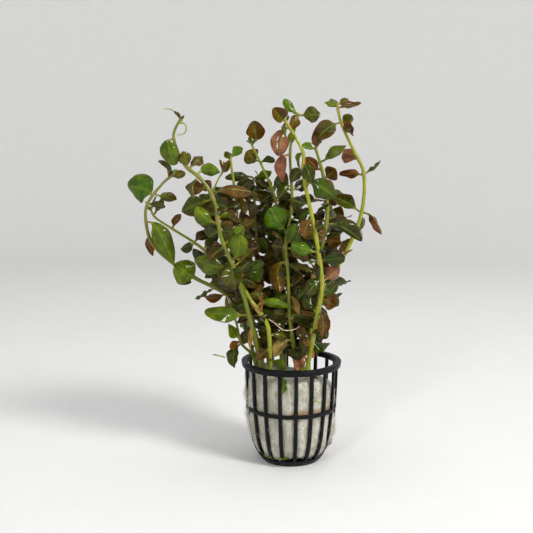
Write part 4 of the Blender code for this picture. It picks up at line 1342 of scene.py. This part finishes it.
# Painted shade: this factor darkens the colours of the young leaves in the middle
FILL_PAINTED_SHADE = 0.72
ONLY_BACK_BELOW = 64
FILL_STEMS = (2, 5, 6, 7, 8, 9, 12, 13, 14, 10)
FILL_TOP = {10: 92, 7: 130, 9: 132}
FILL_BACKWARDS = (2, 7, 8, 9)
# Among these tints 'shade' is painted shade, a near-black green
FILL_TINTS = ("shade", "shade", "deep", "deep", "deep", "deep", "umber", "olive", "olive", "bright", "russet")
# Stems with wider leaves behind them, and the lowest and highest of these
SCREEN_STEMS = {13: (66, 138), 14: (66, 130), 6: (66, 136), 5: (66, 140), 8: (70, 140), 12: (80, 140),
                9: (70, 125), 10: (60, 96), 1: (92, 138), 4: (86, 118), 2: (80, 140)}
SCREEN_STEP = 4.6
# Painted shade: this factor darkens the colours of the wider leaves behind the stems
SCREEN_PAINTED_SHADE = 0.75
# Among these tints 'shade' is painted shade, a near-black green
SCREEN_TINTS = ("shade", "deep", "shade", "deep", "olive", "umber")


def fill_leaves():
    """Pairs of leaves up the stems of the middle, the brightest tints only on those in front, their colours darkened
    as painted shade.
    """
    draw = random.Random(7)
    made = []
    for number in FILL_STEMS:
        top = min(FILL_TOP.get(number, 138), STEMS[number - 1][1][-1][2])
        for level in range(FILL_LEVELS):
            height = FILL_FOOT + FILL_STEP * level + 0.4 * number
            turn = draw.uniform(0, TAU)
            for side in range(2):
                reach = draw.uniform(7, 12.5)
                angle = turn + math.pi * side
                if height < ONLY_BACK_BELOW or number in FILL_BACKWARDS:
                    angle = math.pi * (0.1 + 0.8 * (angle / math.pi % 1.0))
                pointing = (reach * math.cos(angle), 0.7 * reach * math.sin(angle), draw.uniform(-7, 7))
                tint = FILL_TINTS[draw.randrange(len(FILL_TINTS) - (2 if number in BACK_STEMS else 0))]
                hint = FRONT if draw.random() < 0.65 else UP
                width, roll = draw.uniform(4.5, 8), draw.uniform(-50, 50)
                if height < top:
                    place = FIRST_FILL + 2 * level + side
                    made.append(Leaf(number, place, height, pointing, width, roll, tint, hint))
                    made[-1].shaded = FILL_PAINTED_SHADE
    return made


def screen_leaves():
    """Wider leaves that grow backwards, face the front and close the view through the bunch; their colours carry
    painted shade.
    """
    draw = random.Random(19)
    made = []
    for number, (low, high) in SCREEN_STEMS.items():
        for level in range(int((high - low) / SCREEN_STEP)):
            height = low + SCREEN_STEP * level + draw.uniform(-1.5, 1.5)
            for side in (-1, 1):
                pointing = (side * draw.uniform(6, 11), draw.uniform(2, 8), draw.uniform(-7, 7))
                width, roll = draw.uniform(6, 9), draw.uniform(-35, 35)
                tint = SCREEN_TINTS[draw.randrange(len(SCREEN_TINTS))]
                place = FIRST_SCREEN + 2 * level + (side > 0)
                made.append(Leaf(number, place, height, pointing, width, roll, tint, FRONT))
                made[-1].shaded = SCREEN_PAINTED_SHADE
    return made


def tuft_leaves():
    """Small leaves round each tip, upright and half folded."""
    draw = random.Random(3)
    made = []
    for number, (_, route) in enumerate(STEMS, 1):
        for k in range(4):
            turn = TAU * k / 4 + number
            reach = draw.uniform(3.0, 5.5)
            pointing = (0.7 * reach * math.cos(turn), 0.7 * reach * math.sin(turn), reach)
            tint = "umber" if number == 1 else "bright" if draw.random() < 0.65 else "olive"
            height = route[-1][2] - draw.uniform(0.2, 2.0)
            width, roll = draw.uniform(2.0, 3.2), draw.uniform(-40, 40)
            made.append(Leaf(number, FIRST_TUFT + k, height, pointing, width, roll, tint, UP))
    return made


# Leaves in the mouth of the pot: stem, height, reach, width, roll and tint
MOUTH_LEAVES = [
    (8, 55, (5, -11, -3), 6, 30, "umber"), (9, 56, (6, -9, -4), 6, 160, "pink"),
    (2, 58, (-6, -7, -4), 5, 20, "umber"), (13, 57, (6, 4, -7), 7, 20, "shade"),
    (13, 56, (-6, 3, -7), 7, -20, "umber"), (14, 57, (-6, 4, -7), 7, 10, "shade"),
    (14, 56, (6, 3, -6), 7, -10, "deep"), (8, 56, (5, 6, -6), 6, 0, "umber"),
    (5, 57, (5, 4, -7), 6, 0, "shade"),
]


def mouth_leaves():
    return [Leaf(number, FIRST_MOUTH + k, height, reach, width, roll, tint, FRONT)
            for k, (number, height, reach, width, roll, tint) in enumerate(MOUTH_LEAVES)]


# This one would lie across the front of its own stem, which is bare there
LEFT_OUT = "leaf_02_49"
grown_in = 0
for leaf in mouth_leaves() + tuft_leaves() + screen_leaves() + fill_leaves():
    if leaf.name() == LEFT_OUT:
        continue
    found = settled(leaf, (1.0, 0.75), FILL_CLEARANCE)
    if found:
        small_leaves[found.stem_number].append(leaf_object(f"young_{found.name()}", found, seed_of(found)))
        grown_in += 1
print("young leaves with room:", grown_in)

# %% Join each stem with its small leaves
for number, blades in small_leaves.items():
    shoot = joined(f"stem_{number:02d}_shoot", [stem_tube(number)] + blades)
    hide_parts(f"stem_{number:02d}")
    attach(shoot, "root")
    print(shoot.name, triangles(shoot))

# %% [markdown]
# ## Small things that hang on
#
# Thin tan roots come out of the lower joints, a tendril curls at one tip, a green leaf tip pokes
# through a slot of the basket, a leaf hangs over the wool in its mouth, and bits of leaf and stem
# lie on the wool.

# %% Roots, tendrils and bits
root_skin = Finish("root_skin")
pallor = root_skin.clouds(root_skin.place(), 700.0, 4.0)
root_skin.set(
    Base_Color=root_skin.mix(root_skin.band(pallor, 0.4, 0.62), (0.40, 0.27, 0.17), (0.66, 0.53, 0.40)),
    Roughness=0.25 + 0.3 * pallor,
    Coat_Weight=0.5,
)
root_skin.relief(pallor, 0.0001, 0.7)

# Name, finish, radius at the start and end in millimetres, and route
SMALL_TUBES = [
    ("arching_root", root_skin, 0.32, 0.20, [(-11.4, -11, 73.3), (-8.4, -12.4, 71.7), (-5, -13.4, 68.9),
                                             (-2, -13.2, 68.2), (1.4, -12, 68.6), (3.8, -9, 69.3)]),
    ("tip_tendril", bark, 0.40, 0.18, [(-52.6, -12, 168), (-54.3, -12.2, 171.5), (-57.6, -12.4, 173.7),
                                       (-60.5, -12.6, 173.7)]),
    ("tip_curl", bark, 0.45, 0.20, [(-53.5, -12, 167), (-51.4, -12.5, 167.3), (-50, -12.8, 165.3),
                                    (-51, -13, 162.4), (-54.4, -12.6, 161.7)]),
    ("rim_root_a", root_skin, 0.35, 0.2, [(9.9, 1.5, 57.5), (11.9, 2, 60.8), (13.4, 2, 62.9)]),
    ("rim_root_b", root_skin, 0.35, 0.2, [(9.7, 2.4, 59.8), (12.4, 2, 57.2), (14, 2, 55.2)]),
    ("green_strand", bark, 0.35, 0.2, [(9.9, -21.6, 36.1), (11.8, -20.9, 35.1), (13.8, -19.6, 33.6)]),
    ("low_twig", bark, 0.4, 0.3, [(-38.9, -5, 54.3), (-36, -5.2, 53.8), (-32.9, -5, 52.8)]),
]


def smooth_route(route, parts=8):
    points = route_points(route)
    return [bent(points, i, k / parts) for i in range(len(points) - 1) for k in range(parts)] + [points[-1]]


for name, finish, start, end, route in SMALL_TUBES:
    places = smooth_route(route)
    shares = [i / (len(places) - 1) for i in range(len(places))]
    radii = [(start + (end - start) * share) * MM for share in shares]
    none = [0.0] * len(places)
    made = tube_along(name, places, radii, finish.material, 8, {"joint": none, "tone": none})
    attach(made, "root")
print("small tubes:", len(SMALL_TUBES))

# %% Leaf tips and scraps on the wool
# Name, root, tip, width in millimetres, roll and tint
SCRAPS = [
    ("slot_leaf", (-5.2, -19.0, 49.0), (-3.6, -22.6, 39.6), 5.0, 0, "bright"),
    ("rim_scrap", (9.0, -19.4, 47.2), (12.5, -19.2, 46.4), 1.6, 0, "olive"),
    ("low_scrap_a", (-13.1, -13.2, 5.4), (-9.0, -15.2, 4.6), 1.4, 20, "bright"),
    ("low_scrap_b", (-6.5, -17.4, 4.9), (-1.2, -18.0, 6.2), 1.5, -20, "bright"),
    ("side_scrap", (20.1, -4.6, 11.0), (18.9, -5.0, 7.6), 2.2, 0, "straw"),
    ("mouth_leaf", (-11.4, -10.4, 54.0), (-2.6, -18.4, 49.6), 7.0, 25, "bright"),
]
for name, root, tip, width, roll, tint in SCRAPS:
    root, tip = Vector(root) * MM, Vector(tip) * MM
    length = (tip - root).length
    spine = spine_through(root, (root + tip) / 2 + FRONT * 0.12 * length, tip, FRONT, roll)
    scrap = Leaf(1, 0, 60, (tip - root) / MM, width, roll, tint, FRONT)
    blade = leaf_object(name, scrap, 31, spine)
    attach(blade, "root")
print("scraps:", len(SCRAPS))

# %% [markdown]
# ## Floor, light and camera
#
# The plant stands on a plain pale floor that curves up into a wall all round it. A soft lamp from
# the right and the front gives the shadow that falls to the left. A small weak one from the left
# puts the wet glints on the leaves, and a wide one overhead lightens the shadows. The camera stands
# less than half a metre away at the height of the leaves and looks down a little, which is where
# the ribs and the rim's narrow ellipse put it.

# %% Floor that curves into a wall
FLOOR_FLAT = 0.75
FLOOR_CURVE = 0.45
WALL_TOP = 1.6
card = Finish("pale_board")
paper = card.clouds(card.place(), 60.0, 4.0)
card.set(
    Base_Color=card.mix(paper, (0.74, 0.74, 0.735), (0.78, 0.78, 0.775)),
    Roughness=0.75 + 0.1 * paper,
)
bowl = [(0.0, 0.0), (FLOOR_FLAT / 2, 0.0), (FLOOR_FLAT, 0.0)]
for i in range(1, 13):
    angle = math.pi / 2 * i / 12
    bowl.append((FLOOR_FLAT + FLOOR_CURVE * math.sin(angle), FLOOR_CURVE * (1 - math.cos(angle))))
bowl.append((FLOOR_FLAT + FLOOR_CURVE, WALL_TOP))
points = [(0.0, 0.0, 0.0)]
SIDES = 96
round_turns = [TAU * i / SIDES for i in range(SIDES)]
for radius, height in bowl[1:]:
    points += [(radius * math.cos(angle), radius * math.sin(angle), height) for angle in round_turns]
faces = [(0, 1 + i, 1 + (i + 1) % SIDES) for i in range(SIDES)]
for row in range(len(bowl) - 2):
    for i in range(SIDES):
        a, j = 1 + row * SIDES, (i + 1) % SIDES
        faces.append((a + i, a + SIDES + i, a + SIDES + j, a + j))
mesh = bpy.data.meshes.new("pale_board")
mesh.from_pydata(points, [], faces)
mesh.shade_smooth()
board = object_of("pale_board", mesh, card.material)
print("floor reaches in m:", FLOOR_FLAT + FLOOR_CURVE)

# %% Lamps and camera
def lamp(name, place, aim, size, power, colour):
    light = bpy.data.lights.new(name, "AREA")
    light.shape = "DISK"
    light.size = size
    light.energy = power
    light.color = colour
    made = bpy.data.objects.new(name, light)
    made.location = place
    made.rotation_euler = (Vector(aim) - Vector(place)).to_track_quat("-Z", "Y").to_euler()
    bpy.context.scene.collection.objects.link(made)
    return made


middle_of_plant = (0.0, 0.0, 0.09)
lamp("key", (0.72, -0.62, 0.90), middle_of_plant, 0.34, 12.0, (1.0, 0.985, 0.96))
lamp("fill", (-0.38, -0.85, 0.68), middle_of_plant, 0.15, 2.4, (0.97, 0.98, 1.0))
lamp("top", (-0.05, 0.10, 0.90), middle_of_plant, 0.60, 2.0, (1.0, 1.0, 1.0))
world = bpy.data.worlds.new("studio")
world.use_nodes = True
world.node_tree.nodes["Background"].inputs["Color"].default_value = (0.95, 0.97, 1.0, 1.0)
world.node_tree.nodes["Background"].inputs["Strength"].default_value = 0.28
bpy.context.scene.world = world

# The photograph's own colours are plain, so the picture is shown without a film curve
bpy.context.scene.view_settings.view_transform = "Standard"

LOOK_DOWN = 8.2
eye = bpy.data.cameras.new("camera")
eye.lens = 60.8
eye.sensor_width = 36.0
camera = bpy.data.objects.new("camera", eye)
camera.location = (-12.4 * MM, -439.5 * MM, 160.9 * MM)
camera.rotation_euler = (math.radians(90 - LOOK_DOWN), 0.0, 0.0)
bpy.context.scene.collection.objects.link(camera)
bpy.context.scene.camera = camera
print("camera stands", round(-camera.location.y, 3), "m in front of the pot")
